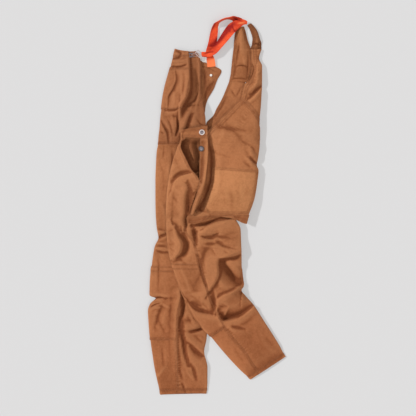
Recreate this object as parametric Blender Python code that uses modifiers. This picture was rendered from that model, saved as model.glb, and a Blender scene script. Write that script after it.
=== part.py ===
"""Bib overalls of cotton duck, laid on their left-up side on a flat surface.

The surface is z = 0. +Z is up, +Y runs from the hems to the straps and +X from the wearer's
front to the wearer's back. The tables are in millimetres, and meshes are made in metres.

The right leg lies on the surface with the bib above it. The left leg lies across the right one,
and the back hangs over the left leg's top. Every hidden layer of cloth is one rounded core, and
each piece that shows is a thin wall, 0.3 mm clear of what it lies on.
"""

import math
from typing import NamedTuple

import bpy
import numpy as np
from mathutils import Quaternion, Vector
from mathutils.bvhtree import BVHTree

MM = 0.001
GARMENT = "bib_overalls"

# Cloth
CLOTH = 1.5  # one layer of duck with its seam allowances
GAP = 0.3  # clearance between pieces that touch
LAYER = CLOTH + GAP  # how far a piece laid on a panel stands out from it
CURL = 9.0  # height of the widest point of a folded edge above what it lies on
TUCK = 7.0  # how far a folded edge rolls back under itself
FREE_EDGE = 12.0  # height of a loose edge above what it lies on
HEM_LIDS = (3.1, 4.5, 9.0)  # height of the under layer at a hem and at the rows before it
ROW_STEP = 29.0  # spacing of the rows that a panel is made of
ARCH_POWER = 2.2  # how square-shouldered the cloth's sections are
ROUND_POWER = {False: 0.5, True: 1.0}  # a folded edge rises steeply, a loose one gently
ARCH_POINTS = 97  # points along a section before it is shared out into columns
STEEP_WEIGHT = 2.2  # how much closer together the columns lie where the cloth is steep
SETBACK = 32.0  # how far a core stays behind a loose edge
CORE_DEPTH = LAYER + 0.3  # depth of a core that ends short of a loose edge
CORE_SLOPE = 6.0  # how far the core's side under a loose edge leans out
LID_INSET = 3.5  # how far the under layer stays inside the hem's folded sides
CORE_FOOT = 3.5  # how far the core's underside stays inside its widest line
CORE_DROP = 0.8  # share of its height that the core loses under a loose edge
LOWEST = 5.8  # the cloth never sinks closer than this to the surface
CURL_SHARE = 0.42  # most that a folded edge may take of the height between its base and the crown
TOP_SHARE = 0.8  # most that any edge may take of it
ROLL_POINTS = 6  # points round a folded edge's roll
FADE_HEIGHT = 1.3 * CURL  # folds fade out over this height above a folded edge's foot
SEAM_SHARE = 0.55  # share of the seam gap that each of two panels draws back
LEG_CLEAR = LAYER + 2 * GAP  # a leg's cloth stays above the other leg and its knee patch
HIP_SETBACK = 48.0  # how far the hip's core stays behind the fly's back edge
HIP_DEPTH = 2 * LAYER + 1.2  # how far the hip's core lies below its cloth, clear of the pocket facing
TAIL_GAP = 0.6  # a core that meets the leg's core ends this far from it
REST_REACH = 9.0  # how far round a point the cloth feels what it lies on
HEM_REACH = 27.0  # the same for the seat, which steps up over the leg's top
NEARBY = ((0, 0), (1, 0), (-1, 0), (0, 1), (0, -1))
OVERHEAD = 500.0  # height from which the cloth is looked down on
BELOW = 10.0  # how far a cutter reaches below the surface

# Mesh detail
STRIP_STEP = 22.0
STRIP_COLUMNS = 6
RIBBON_STEP = 9.0
TURNED_STEPS = 24
WIRE_SIDES = 2  # bevel steps of each quarter of a wire
SHARP_ANGLE = 50.0  # degrees

# Hardware and trim
WEBBING_THICK = 1.8
STRAP_THICK = 2.4

# Finishes: name of the look, base colour, roughness, metallic
DUCK = ((0.42, 0.19, 0.08), 0.85, 0.0)
DUCK_SHADE = ((0.30, 0.13, 0.055), 0.9, 0.0)
WEBBING = ((0.86, 0.10, 0.03), 0.7, 0.0)
STEEL = ((0.62, 0.60, 0.62), 0.35, 1.0)
ENAMEL = ((0.80, 0.78, 0.76), 0.4, 0.0)

# Turned profiles: radius, height
SHANK = 1.6  # how far a button's back stands off the cloth
BUTTON_PROFILE = (
    (0, 2.6), (6.0, 2.6), (7.2, 3.4), (9.6, 3.6), (10.8, 2.8), (11.0, 1.6), (10.2, 0.6), (8.6, 0.0),
    (3.5, 0.0), (3.5, GAP - SHANK), (0, GAP - SHANK),
)
RIVET_PROFILE = ((0, 2.0), (3.2, 1.8), (4.6, 1.2), (5.0, 0.5), (4.8, 0.0), (0, 0.0))


class Section(NamedTuple):
    """A line across a part of the garment, from its front edge to its back edge."""

    front_x: float
    front_y: float
    back_x: float
    back_y: float
    seam_x: float  # where the part's lengthwise seam crosses the line
    crown: float  # top of the cloth above the surface
    bow: float = 0.0  # how far the middle of the line bends towards the bib
    mark: str = ""  # name of a seam or edge that runs along the line
    fly_x: float = 0.0  # on the hip, where the fly's front edge crosses the line


class Fold(NamedTuple):
    """A soft ridge, or with a negative rise a trough. Hands are as seen walking along the path."""

    path: tuple  # corner points (x, y) of a smooth line
    rise: float
    left_hand: float  # reach of its slope to the left of the path
    right_hand: float


RIGHT_SIDE = (
    Section(-168, 628, -82, 618, -112, 14, -6, "bib top"),
    Section(-177, 592, -69, 592, -110, 20),
    Section(-186, 554, -61, 552, -110, 25, 0, "chest pocket top"),
    Section(-196, 518, -62, 516, -110, 27),
    Section(-206, 482, -64, 476, -112, 28),
    Section(-216, 432, -59, 430, -122, 27),
    Section(-222, 386, -52, 386, -142, 24, 0, "chest pocket bottom"),
    Section(-227, 348, -46, 348, -148, 21),
    Section(-230, 308, -44, 310, -146, 20),
    Section(-234, 276, -60, 272, -146, 20),
    Section(-236, 245, -76, 245, -144, 20, 0, "waist seam"),
    Section(-241, 216, -84, 216, -132, 22, 0, "right leg top"),
    Section(-244, 164, -88, 164, -148, 24),
    Section(-246, 100, -88, 100, -156, 26),
    Section(-246, 36, -88, 36, -164, 26),
    Section(-245, -24, -88, -24, -166, 26),
    Section(-241, -84, -84, -84, -166, 26),
    Section(-234, -126, -72, -126, -162, 24),
    Section(-249, -162, -64, -162, -156, 27),
    Section(-261, -240, -56, -240, -144, 29, 0, "right patch top"),
    Section(-267, -304, -48, -304, -140, 29, 0, "right back top"),
    Section(-268, -354, -44, -354, -140, 28),
    Section(-243, -368, -44, -368, -143, 27),
    Section(-266, -392, -42, -392, -147, 28),
    Section(-274, -420, -40, -420, -153, 28),
    Section(-271, -476, -38, -476, -158, 27),
    Section(-266, -534, -42, -532, -159, 26, 0, "right patch bottom"),
    Section(-259, -584, -51, -582, -158, 24),
    Section(-249, -648, -38, -644, -156, 21),
    Section(-238, -700, -38, -698, -154, 15),
    Section(-230, -735, -40, -733, -153, 9.5, 0, "right hem fold"),
    Section(-226, -754, -44, -750, -153, 8, 4, "right hem"),
)

LEFT_HIP = (
    Section(-144, 302, -39, 319, -122, 40, 0, "waistband top", -68),
    Section(-144, 272, -37, 266, -124, 44, 0, "waistband bottom", -68),
    Section(-148, 254, -36, 252, -140, 43, 0, "", -68),
    Section(-156, 236, -36, 232, -144, 46, 0, "", -68),
    Section(-173, 188, -37, 188, -124, 50, 0, "", -69),
    Section(-184, 148, -41, 146, -104, 52, 0, "", -70),
    Section(-193, 104, -46, 102, -72, 53, 0, "pocket opening end", -70),
    Section(-200, 44, -61, 42, -84, 53, 0, "", -82),
    Section(-203, -4, -80, -2, -100, 52, 0, "", -98),
    Section(-204, -34, -94, -34, -108, 50, 0, "hip end", -106),
)

LEG_TOP = -50.0
LEFT_LEG = (
    Section(-204, LEG_TOP, 76, LEG_TOP, -112, 42, 0, "left leg top"),
    Section(-202, -94, 94, -94, -123, 46),
    Section(-199, -148, 96, -148, -86, 50),
    Section(-189, -204, 98, -206, -72, 55),
    Section(-183, -228, 98, -232, -66, 56, 0, "left patch top"),
    Section(-164, -284, 102, -276, -50, 55),
    Section(-137, -354, 107, -316, -34, 52),
    Section(-110, -408, 98, -336, -22, 48),
    Section(-82, -456, 114, -358, -4, 45),
    Section(-54, -492, 132, -378, 16, 42),
    Section(-26, -520, 149, -398, 33, 39, 0, "left patch bottom"),
    Section(12, -566, 186, -456, 72, 34),
    Section(54, -614, 222, -512, 114, 28),
    Section(94, -656, 249, -556, 143, 20),
    Section(120, -680, 265, -587, 162, 10, 0, "left hem fold"),
    Section(134, -693, 274, -602, 171, 8, 0, "left hem"),
)

BACK = (
    Section(133, 624, 178, 626, 158, 13, 0, "yoke top"),
    Section(135, 592, 168, 590, 152, 15),
    Section(139, 560, 180, 558, 159, 22),
    Section(134, 524, 180, 518, 156, 26),
    Section(124, 500, 180, 484, 150, 29),
    Section(109, 484, 178, 446, 142, 31),
    Section(100, 456, 175, 396, 136, 33, 0, "armhole top"),
    Section(94, 428, 169, 334, 128, 36, 12, "yoke seam"),
    Section(68, 402, 172, 306, 116, 38, 8),
    Section(43, 376, 172, 286, 104, 39, 5),
    Section(16, 348, 172, 272, 88, 40, 3),
    Section(-6, 323, 171, 258, 68, 41),
    Section(-34, 304, 170, 242, 46, 42),
    Section(-54, 272, 168, 222, 26, 42),
    Section(-60, 232, 165, 196, 8, 42),
    Section(-62, 192, 159, 163, 0, 41),
    Section(-62, 160, 166, 140, -6, 42, 0, "back pocket top"),
    Section(-64, 104, 161, 96, -10, 43),
    Section(-72, 52, 152, 40, -25, 44),
    Section(-86, 4, 140, 0, -42, 43, 0, "back pocket curve"),
    Section(-104, -32, 128, -30, -30, 41, 0, "back pocket bottom"),
    Section(-115, -66, 116, -70, -26, 38, 26, "seat hem"),
)

# Ridges and troughs of the bib and the right leg, from the straps down
RIGHT_SIDE_FOLDS = (
    Fold(((-158, 598), (-138, 584)), -6, 14, 16),
    Fold(((-166, 556), (-140, 548)), -5, 14, 16),
    Fold(((-114, 590), (-114, 545), (-113, 480), (-121, 436), (-146, 388)), 20, 13, 62),
    Fold(((-84, 590), (-86, 520), (-84, 450), (-104, 396)), -7, 22, 22),
    Fold(((-186, 480), (-186, 390)), -6, 22, 16),
    Fold(((-145, 400), (-147, 340), (-144, 290), (-144, 250)), 17, 60, 9),
    Fold(((-98, 376), (-118, 330), (-134, 290)), -8, 14, 16),
    Fold(((-158, 340), (-158, 300), (-152, 270)), -9, 9, 16),
    Fold(((-228, 350), (-196, 280), (-178, 244)), -5, 14, 18),
    Fold(((-240, -100), (-196, -112)), 8, 12, 12),
    Fold(((-236, -128), (-190, -104)), -10, 11, 11),
    Fold(((-244, -168), (-198, -172)), 7, 14, 14),
    Fold(((-236, -196), (-232, -330)), -6, 18, 26),
    Fold(((-246, -362), (-206, -368)), -10, 12, 10),
    Fold(((-236, -404), (-262, -470)), -6, 22, 16),
    Fold(((-128, -360), (-140, -450)), -11, 18, 9),
    Fold(((-152, -350), (-162, -470), (-160, -560)), 7, 10, 30),
    Fold(((-134, -448), (-100, -476), (-56, -486)), 9, 14, 12),
    Fold(((-136, -466), (-104, -492), (-60, -500)), -9, 12, 12),
    Fold(((-126, -520), (-96, -548), (-60, -600)), 7, 18, 26),
    Fold(((-140, -500), (-128, -570), (-108, -640)), -8, 20, 14),
)

# Of the left hip
HIP_FOLDS = (
    Fold(((-174, 160), (-140, 142), (-112, 136)), -6, 12, 12),
    Fold(((-172, 132), (-186, 96)), -5, 24, 12),
    Fold(((-108, 40), (-124, -10), (-134, -90)), -13, 16, 14),
)

# Of the left leg
LEG_FOLDS = (
    Fold(((-108, 40), (-124, -10), (-134, -90)), -13, 16, 14),
    Fold(((-134, -54), (-126, -92), (-118, -130)), -10, 22, 12),
    Fold(((-168, 90), (-164, -30), (-156, -110), (-140, -180)), 21, 58, 44),
    Fold(((-100, -66), (-86, -98), (-84, -130)), -12, 22, 22),
    Fold(((-72, -102), (-30, -80), (66, -54)), 15, 17, 15),
    Fold(((-62, -118), (-24, -126)), -9, 9, 18),
    Fold(((4, -124), (56, -150)), -6, 12, 16),
    Fold(((92, -174), (40, -196), (-28, -222)), 13, 26, 14),
    Fold(((-8, -208), (34, -218), (80, -240)), -12, 18, 10),
    Fold(((18, -226), (50, -270), (84, -312), (40, -334), (-6, -350)), -19, 26, 34),
    Fold(((104, -320), (60, -344), (10, -366), (-6, -412)), 17, 14, 22),
    Fold(((122, -392), (76, -448), (20, -462)), -15, 20, 16),
    Fold(((138, -410), (90, -462), (28, -480)), 9, 16, 16),
    Fold(((-30, -352), (-14, -410), (-2, -440)), -13, 12, 10),
    Fold(((62, -478), (108, -488)), -4, 12, 12),
    Fold(((-114, -380), (-56, -406), (-16, -420)), -6, 18, 16),
)

# Of the back
BACK_FOLDS = (
    Fold(((138, 572), (140, 520), (126, 486)), -8, 12, 10),
    Fold(((176, 488), (142, 452), (128, 430)), -13, 16, 18),
    Fold(((160, 560), (160, 500), (140, 456)), 7, 16, 16),
    Fold(((112, 480), (84, 430), (34, 368), (-8, 320)), 5, 12, 16),
    Fold(((40, 330), (110, 250), (160, 216)), -3, 30, 30),
    Fold(((118, 196), (136, 172), (160, 158)), -9, 12, 12),
    Fold(((128, 214), (150, 190)), 6, 16, 16),
    Fold(((4, 120), (2, 30)), 4, 18, 18),
    Fold(((52, 130), (58, -10)), -3, 16, 16),
    Fold(((-100, -50), (-40, -44), (20, -30)), 6, 12, 14),
)


class Strip(NamedTuple):
    """One row of a strap or facing: its two edges, and how far its middle stands above them."""

    left_x: float
    left_y: float
    right_x: float
    right_y: float
    left_z: float
    right_z: float
    arch: float


BIB_FAR_HALF = (
    Strip(-88, 588, -66, 580, 0, 0, 0),
    Strip(-86.5, 566, 18, 540, 0, 0, 3),
    Strip(-89, 530, 2, 506, 0, 0, 5),
    Strip(-90, 490, -12, 470, 0, 0, 5),
    Strip(-87, 440, -38, 424, 0, 0, 4),
    Strip(-80, 400, -46, 396, 0, 0, 2),
    Strip(-72, 376, -48, 374, 0, 0, 0),
)

SIDE_FAR_HALF = (
    Strip(52, 505, 110, 502, 0, 3, 6),
    Strip(43, 482, 109, 474, 0, 8.8, 4),
    Strip(20, 428, 94, 416, 0, 9.2, 4),
    Strip(-2, 388, 64, 378, 0, 9.2, 4),
    Strip(-14, 362, 36, 352, 0, 9.2, 3),
    Strip(-42, 332, 8, 324, 0, 9.2, 2),
    Strip(-40, 318, -14, 308, 0, 6, 2),
)

NEAR_STRAP = (
    Strip(84, 712, 106, 716, 3, 3, 12),
    Strip(74, 690, 113, 692, 2, 2, 16),
    Strip(70, 662, 119, 660, 0, 0, 17),
    Strip(67, 630, 127, 628, 0, 0, 16),
    Strip(63, 598, 128, 598, 0, 0, 17),
    Strip(59, 560, 131, 560, 0, 0, 17),
    Strip(56, 524, 127, 524, 0, 0, 14),
    Strip(52, 505.6, 118, 502.8, 0, 0, 10),
)

FAR_STRAP = (
    Strip(122, 722, 135, 728, 6, 6, 5),
    Strip(130, 710, 148, 714, 5, 5, 7),
    Strip(138, 692, 161, 694, 3, 3, 10),
    Strip(144, 668, 169, 668, 1, 1, 12),
    Strip(141, 648, 176, 648, 0, 0, 11),
    Strip(134, 624.7, 176, 626.4, 1, 0, 8),
)


class Station(NamedTuple):
    """One place along a flat ribbon: its middle, its width, and its roll about its own run."""

    x: float
    y: float
    z: float
    width: float
    roll: float  # degrees, 0 lies flat


WEBBING_LOOP = (
    Station(-62, 607, 17.7, 13, 0),
    Station(-42, 606, 17.3, 16, 0),
    Station(-30, 622, 14, 26, 4),
    Station(-18, 652, 9, 33, 6),
    Station(-12, 690, 8, 30, 8),
    Station(-6, 716, 12, 26, 40),
    Station(10, 735, 17, 31, 84),
    Station(40, 747, 17, 31, 88),
    Station(62, 748, 16, 31, 70),
    Station(78, 741, 12, 30, 36),
    Station(96, 735, 7, 28, 12),
)

WEBBING_CROSS = (
    Station(-60, 605, 19.9, 12, 0),
    Station(-38, 601, 20.3, 16, 0),
    Station(-14, 614, 21, 24, -10),
    Station(10, 644, 19, 32, -16),
    Station(34, 676, 21, 38, -12),
    Station(58, 706, 25, 40, -4),
    Station(80, 722, 24, 34, 4),
    Station(104, 732, 19.5, 22, 8),
    Station(120, 730, 15.5, 12, 4),
)

WEBBING_END = (
    Station(-60, 601, 12.5, 12, 0),
    Station(-42, 601, 12.3, 16, 0),
    Station(-29, 594, 11, 28, 0),
    Station(-24, 574, 6.2, 33, 0),
    Station(-22, 556, 6.0, 33, 0),
)

BUTTONS = {"upper_button": (-60.5, 291), "lower_button": (-63, 226)}
RIVET_PLACE = (-24, 522, 6.1)


class Opening(NamedTuple):
    """A rounded rectangle: a stamped plate's outline, or a hole in it."""

    length: float
    width: float
    radius: float
    x: float = 0.0
    y: float = 0.0


HOOK_THICK = 1.6
HOOK_PLACE = (-102, 600, 3.5)  # x, y and height above the cloth
HOOK_TURN = 12
HOOK = (Opening(24.0, 19.0, 4.0), Opening(7.0, 9.0, 3.0, -4.0), Opening(3.0, 13.0, 1.4, 7.5))
SLIDER_THICK = 2.0
SLIDER_PLACE = (-72, 606, 15.2)
SLIDER_TILT = (0, 0, -42)
SLIDER = (Opening(30.0, 22.0, 4.0), Opening(22.0, 5.0, 1.6, 0.0, 4.6), Opening(22.0, 5.0, 1.6, 0.0, -4.6))
WIRE_CORNER = 0.45  # corner radius of a wire ring, as a share of its width
LINK = {"long": 22.0, "wide": 12.0, "wire": 1.3, "place": (-86, 601, 20.6), "tilt": (0, 14, -4)}
RING = {"long": 26.0, "wide": 20.0, "wire": 1.7, "place": (-53.5, 588, 7.8), "tilt": (0, 8, -80)}


def row_slopes(place, values):
    """Slopes at each row of a curve through the rows that never swings past them."""
    run = np.diff(place)[:, None]
    rate = np.diff(values, axis=0) / run
    slope = np.zeros_like(values)
    same_way = rate[:-1] * rate[1:] > 0
    safe = np.where(same_way, rate[:-1], 1.0), np.where(same_way, rate[1:], 1.0)
    slope[1:-1] = np.where(same_way, 2.0 / (1.0 / safe[0] + 1.0 / safe[1]), 0.0)
    slope[0], slope[-1] = rate[0], rate[-1]
    return slope


def smooth_rows(values, steps):
    """The table's rows with steps[k] rows from row k to row k + 1, on a smooth curve."""
    place = np.arange(len(values), dtype=float)
    slope = row_slopes(place, values)
    rows = []
    for k, count in enumerate(steps):
        for t in np.arange(count) / count:
            a, b = values[k], values[k + 1]
            rows.append(
                a * (1 + 2 * t) * (1 - t) ** 2
                + b * (3 - 2 * t) * t * t
                + slope[k] * t * (1 - t) ** 2
                - slope[k + 1] * t * t * (1 - t)
            )
    rows.append(values[-1])
    return np.array(rows)


def smooth_line(points, per_span=5):
    """A smooth plan line through the points."""
    return smooth_rows(np.array(points, float), [per_span] * (len(points) - 1))


def fold_lift(x, y, folds):
    """How far the folds raise the cloth at each point."""
    lift = np.zeros_like(x)
    for fold in folds:
        line = smooth_line(fold.path)
        start, run = line[:-1], np.diff(line, axis=0)
        away = np.stack([x, y], -1)[..., None, :] - start
        along = np.clip((away * run).sum(-1) / (run * run).sum(-1), 0, 1)
        offset = away - along[..., None] * run
        distance = np.linalg.norm(offset, axis=-1)
        nearest = distance.argmin(-1)[..., None]
        near = np.take_along_axis(distance, nearest, -1)[..., 0]
        side = np.take_along_axis(run[:, 0] * away[..., 1] - run[:, 1] * away[..., 0], nearest, -1)[..., 0]
        reach = np.where(side > 0, fold.left_hand, fold.right_hand)
        share = (nearest[..., 0] + np.take_along_axis(along, nearest, -1)[..., 0]) / len(run)
        taper = np.sin(np.pi * np.clip(share, 0.06, 0.94)) ** 0.6
        lift += fold.rise * taper * (0.5 + 0.5 * np.cos(np.pi * np.clip(near / reach, 0, 1)))
    return lift


class Rest:
    """What a part of the garment lies on: the tops of the parts below it, and the flat surface."""

    def __init__(self, sheets, clearance, reach=REST_REACH):
        self.clearance = clearance
        self.reach = reach
        self.trees = [BVHTree.FromPolygons(*sheet.surface()) for sheet in sheets]

    def height(self, x, y):
        """Height that the cloth may come down to at a point."""
        top = 0.0
        for tree in self.trees:
            for u, v in NEARBY:
                start = Vector((x + u * self.reach, y + v * self.reach, OVERHEAD))
                hit = tree.ray_cast(start, Vector((0, 0, -1)))[0]
                if hit:
                    top = max(top, hit.z + self.clearance)
        return top


def across(width, base, tops, crown, peak, loose):
    """Place across and height along a section's cloth, and how many points its front foot has."""
    frac = 0.5 - 0.5 * np.cos(np.linspace(0, math.pi, ARCH_POINTS))
    offset = (frac - peak) / np.where(frac < peak, peak, 1 - peak)
    power = np.where(frac < peak, ROUND_POWER[loose[0]], ROUND_POWER[loose[1]])
    floor = tops[0] + (tops[1] - tops[0]) * frac
    level = floor + np.maximum(crown - floor, 0) * (1 - np.abs(offset) ** ARCH_POWER) ** power
    place = frac * width
    turn = np.linspace(-0.5 * math.pi, 0, ROLL_POINTS + 1)[:-1]
    roll = TUCK * (1 - np.cos(turn))
    lead = 0
    if not loose[0]:
        place = np.concatenate([roll, place])
        level = np.concatenate([base[0] + (tops[0] - base[0]) * (1 + np.sin(turn)), level])
        lead = len(roll)
    if not loose[1]:
        place = np.concatenate([place, width - roll[::-1]])
        level = np.concatenate([level, base[1] + (tops[1] - base[1]) * (1 + np.sin(turn[::-1]))])
    return place, level, lead


class Mound:
    """A part's cloth surface as a net of points, rows along the part and columns across it."""

    def __init__(self, sections, columns, folds, rest=None, peak=0.5, loose_front="", loose_back=""):
        table = np.array([row[:7] + (row.fly_x,) for row in sections], float)
        middle = (table[:, :2] + table[:, 2:4]) / 2
        spans = np.linalg.norm(np.diff(middle, axis=0), axis=1)
        steps = [max(1, round(span / ROW_STEP)) for span in spans]
        rows = smooth_rows(table, steps)
        starts = np.concatenate([[0], np.cumsum(steps)])
        self.row = {row.mark: int(starts[k]) for k, row in enumerate(sections) if row.mark}
        self.seam = columns[0]
        self.last = sum(columns)
        ends = self.row.get(loose_front, -1), self.row.get(loose_back, -1)
        self.loose = [(i <= ends[0], i <= ends[1]) for i in range(len(rows))]
        self.net = np.array([
            self.section(row, loose, columns, rest, peak) for row, loose in zip(rows, self.loose)
        ])
        self.relief(folds, rest)
        self.normal = self.normals()

    def section(self, row, loose, columns, rest, peak):
        """One row's points, spaced evenly along the cloth on each side of the seam."""
        front, back = row[0:2], row[2:4]
        width = np.linalg.norm(back - front)
        lines = [(x - front[0]) / (back[0] - front[0]) for x in (row[4], row[7])[: len(columns) - 1]]
        base = [0.0, 0.0]
        for side, at in enumerate((front, back)):
            inward = (back - front) / width * TUCK * (1 - 2 * side)
            if rest:
                base[side] = max(rest.height(*at), rest.height(*(at + inward)))
        room = row[5] - max(base)
        rise = [FREE_EDGE if loose[side] else min(CURL, CURL_SHARE * room) for side in (0, 1)]
        tops = [base[side] + min(rise[side], TOP_SHARE * room) for side in (0, 1)]
        place, level, lead = across(width, base, tops, row[5], peak, loose)
        moved = np.hypot(np.diff(place), np.diff(level)) + STEEP_WEIGHT * np.abs(np.diff(level))
        length = np.concatenate([[0], np.cumsum(moved)])
        top = slice(lead, lead + ARCH_POINTS)
        stops = [0.0, *np.interp(np.array(lines) * width, place[top], length[top]), length[-1]]
        wanted = [0.0]
        for start, end, count in zip(stops, stops[1:], columns):
            wanted += list(np.linspace(start, end, count + 1)[1:])
        share = np.interp(wanted, length, place) / width
        points = front + share[:, None] * (back - front)
        points[:, 1] += row[6] * (1 - (2 * np.clip(share, 0, 1) - 1) ** 2)
        return np.column_stack([points, np.interp(wanted, length, level)])

    def relief(self, folds, rest):
        """Raises and sinks the net by the folds, fading where the cloth rolls under."""
        x, y, z = self.net[..., 0], self.net[..., 1], self.net[..., 2]
        lift = fold_lift(x, y, folds)
        foot = np.array([z[:, 0], z[:, -1]]).T
        half = slice(0, self.seam), slice(self.seam, None)
        fade = np.ones_like(z)
        for side in (0, 1):
            steep = np.clip((z[:, half[side]] - foot[:, side : side + 1]) / FADE_HEIGHT, 0, 1)
            loose = np.array([row[side] for row in self.loose])[:, None]
            fade[:, half[side]] = np.where(loose, 1.0, steep)
        self.net[..., 2] = np.maximum(z + lift * fade, np.minimum(z, LOWEST))
        if rest:
            for i, j in np.ndindex(*z.shape):
                folded = {0: not self.loose[i][0], self.last: not self.loose[i][1]}.get(j, False)
                room = 0.0 if folded else LAYER + GAP
                z[i, j] = max(z[i, j], rest.height(*self.net[i, j, :2]) + room)

    def normals(self):
        """Outward unit normal at each point of the net."""
        down = np.gradient(self.net, axis=0)
        over = np.gradient(self.net, axis=1)
        normal = np.cross(over, -down)
        return normal / np.linalg.norm(normal, axis=-1, keepdims=True)

    def surface(self):
        """The net as points and triangles, outward."""
        points = [Vector(p) for p in self.net.reshape(-1, 3)]
        return points, net_faces(*self.net.shape[:2])

    def moved(self, out):
        """The net moved out along its normals, never below the surface the garment lies on."""
        net = self.net + self.normal * out
        net[..., 2] = np.maximum(net[..., 2], 0.0)
        return net

    def piece(self, rows, cols, out=0.0):
        """Outer and inner points of one layer of cloth over part of the net."""
        r = slice(rows[0], rows[1] + 1)
        c = slice(cols[0], cols[1] + 1)
        outer = self.moved(out)[r, c].copy()
        inner = self.moved(out - CLOTH)[r, c].copy()
        return np.stack([outer, inner])


def net_faces(rows, cols, first=0, flip=False):
    """Triangles of a net of points, all cells cut along the same diagonal."""
    faces = []
    for i in range(rows - 1):
        for j in range(cols - 1):
            a = first + i * cols + j
            b, c, d = a + 1, a + cols, a + cols + 1
            faces += [(a, c, d), (a, d, b)]
    return [face[::-1] for face in faces] if flip else faces


def trimmed(layers, edges):
    """The layers with the named edges drawn back by half a seam gap."""
    moves = {"top": (0, 1), "bottom": (-1, -2), "front": (0, 1), "back": (-1, -2)}
    for edge in edges:
        to, frm = moves[edge]
        for layer in layers:
            line = layer if edge in ("top", "bottom") else layer.transpose(1, 0, 2)
            run = line[frm] - line[to]
            line[to] += run / np.linalg.norm(run, axis=-1, keepdims=True) * GAP * SEAM_SHARE
    return layers


def collection(name):
    """A new collection in the scene."""
    made = bpy.data.collections.new(name)
    bpy.context.scene.collection.children.link(made)
    return made


def material(name, colour, roughness, metallic=0.0):
    """A Principled material of one colour."""
    made = bpy.data.materials.new(name)
    made.use_nodes = True
    shader = made.node_tree.nodes["Principled BSDF"]
    shader.inputs["Base Color"].default_value = (*colour, 1.0)
    shader.inputs["Roughness"].default_value = roughness
    shader.inputs["Metallic"].default_value = metallic
    return made


def add_mesh(name, points, faces, finish, home):
    """An object whose mesh has these points, in millimetres, and faces."""
    mesh = bpy.data.meshes.new(name)
    mesh.from_pydata((np.asarray(points) * MM).tolist(), [], faces)
    mesh.shade_smooth()
    mesh.set_sharp_from_angle(angle=math.radians(SHARP_ANGLE))
    mesh.materials.append(finish)
    made = bpy.data.objects.new(name, mesh)
    home.objects.link(made)
    return made


def add_wall(name, layers, finish, home):
    """A closed wall between an outer and an inner net of points."""
    rows, cols = layers[0].shape[:2]
    count = rows * cols
    faces = net_faces(rows, cols) + net_faces(rows, cols, count, flip=True)
    rim = list(range(cols))
    rim += [i * cols + cols - 1 for i in range(1, rows)]
    rim += [(rows - 1) * cols + j for j in range(cols - 2, -1, -1)]
    rim += [i * cols for i in range(rows - 2, 0, -1)]
    for a, b in zip(rim, rim[1:] + rim[:1]):
        faces += [(a, b, b + count), (a, b + count, a + count)]
    return add_mesh(name, np.concatenate([layer.reshape(-1, 3) for layer in layers]), faces, finish, home)


def add_loft(name, rings, finish, home):
    """A closed solid through rings of equal count, with flat ends."""
    count = len(rings[0])
    faces = []
    for k in range(len(rings) - 1):
        for j in range(count):
            a, b = k * count + j, k * count + (j + 1) % count
            faces += [(a, a + count, b + count), (a, b + count, b)]
    faces.append(tuple(range(count)))
    last = (len(rings) - 1) * count
    faces.append(tuple(last + j for j in reversed(range(count))))
    return add_mesh(name, np.concatenate(rings), faces, finish, home)


class Tail(NamedTuple):
    """One more ring beyond a core's last row, which brings the core up to its neighbour."""

    end_y: float
    inset: float  # how far each side is drawn in
    drop: float  # how far the top is lowered


BACK_TAIL = Tail(LEG_TOP + TAIL_GAP, 36.0, 6.0)
HIP_TAIL = Tail(LEG_TOP + TAIL_GAP, 14.0, 12.0)


def core_rings(mound, rows, out, setback=SETBACK, lids=None, tail=None):
    """Rings round a rounded core: its top follows the net, and its underside is flat at z = 0.

    A lid caps the height of a row near a hem.
    """
    rings = []
    for i in range(rows[0], rows[1] + 1):
        points, normal = mound.net[i], mound.normal[i]
        run = points[-1, :2] - points[0, :2]
        width = np.linalg.norm(run)
        run /= width
        ring = points + normal * out
        ring[:, 2] = np.maximum(ring[:, 2], 0.0)
        place = (points[:, :2] - points[0, :2]) @ run
        for side in (0, 1):
            if not mound.loose[i][side]:
                continue
            limit = setback if side == 0 else width - setback
            beyond = np.flatnonzero(place < limit if side == 0 else place > limit)
            order = beyond[::-1] if side == 0 else beyond
            edge = np.array([np.interp(limit, place, ring[:, k]) for k in range(3)])
            way = -1 if side == 0 else 1
            for step, j in enumerate(order):
                drop = step / max(len(order) - 1, 1)
                ring[j] = edge + np.append(way * run * CORE_SLOPE * drop, -edge[2] * CORE_DROP * drop)
        under = np.array([np.append(ring[end, :2] + way * run * CORE_FOOT, 0.0)
                          for end, way in ((-1, -1), (0, 1))])
        if lids and i in lids:
            ring[:, 2] = np.minimum(ring[:, 2], lids[i])
            centre = (points[0, :2] + points[-1, :2]) / 2
            ring[:, :2] += (centre - ring[:, :2]) * 2 * LID_INSET / width
        rings.append(np.concatenate([ring, under]))
    if tail:
        ring = rings[-1].copy()
        ring[:, 0] += (ring[:, 0].mean() - ring[:, 0]) * 2 * tail.inset / np.ptp(ring[:, 0])
        ring[:, 1] = tail.end_y
        ring[:, 2] = np.maximum(ring[:, 2] - tail.drop, 0.0)
        rings.append(ring)
    return rings


def envelope_rings(mound, out):
    """Rings round everything under a part's cloth, reaching below the flat surface."""
    rings = []
    for points, normal in zip(mound.net, mound.normal):
        ring = points + normal * out
        under = np.array([np.append(ring[end, :2], -BELOW) for end in (-1, 0)])
        rings.append(np.concatenate([ring, under]))
    return rings


def apply_cut(piece, cutter):
    """Takes the cutter's volume out of a piece."""
    cut = piece.modifiers.new("Clearance", "BOOLEAN")
    cut.operation = "DIFFERENCE"
    cut.solver = "MANIFOLD"  # both solids graze the flat surface, where the exact solver loses them
    cut.object = cutter


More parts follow.
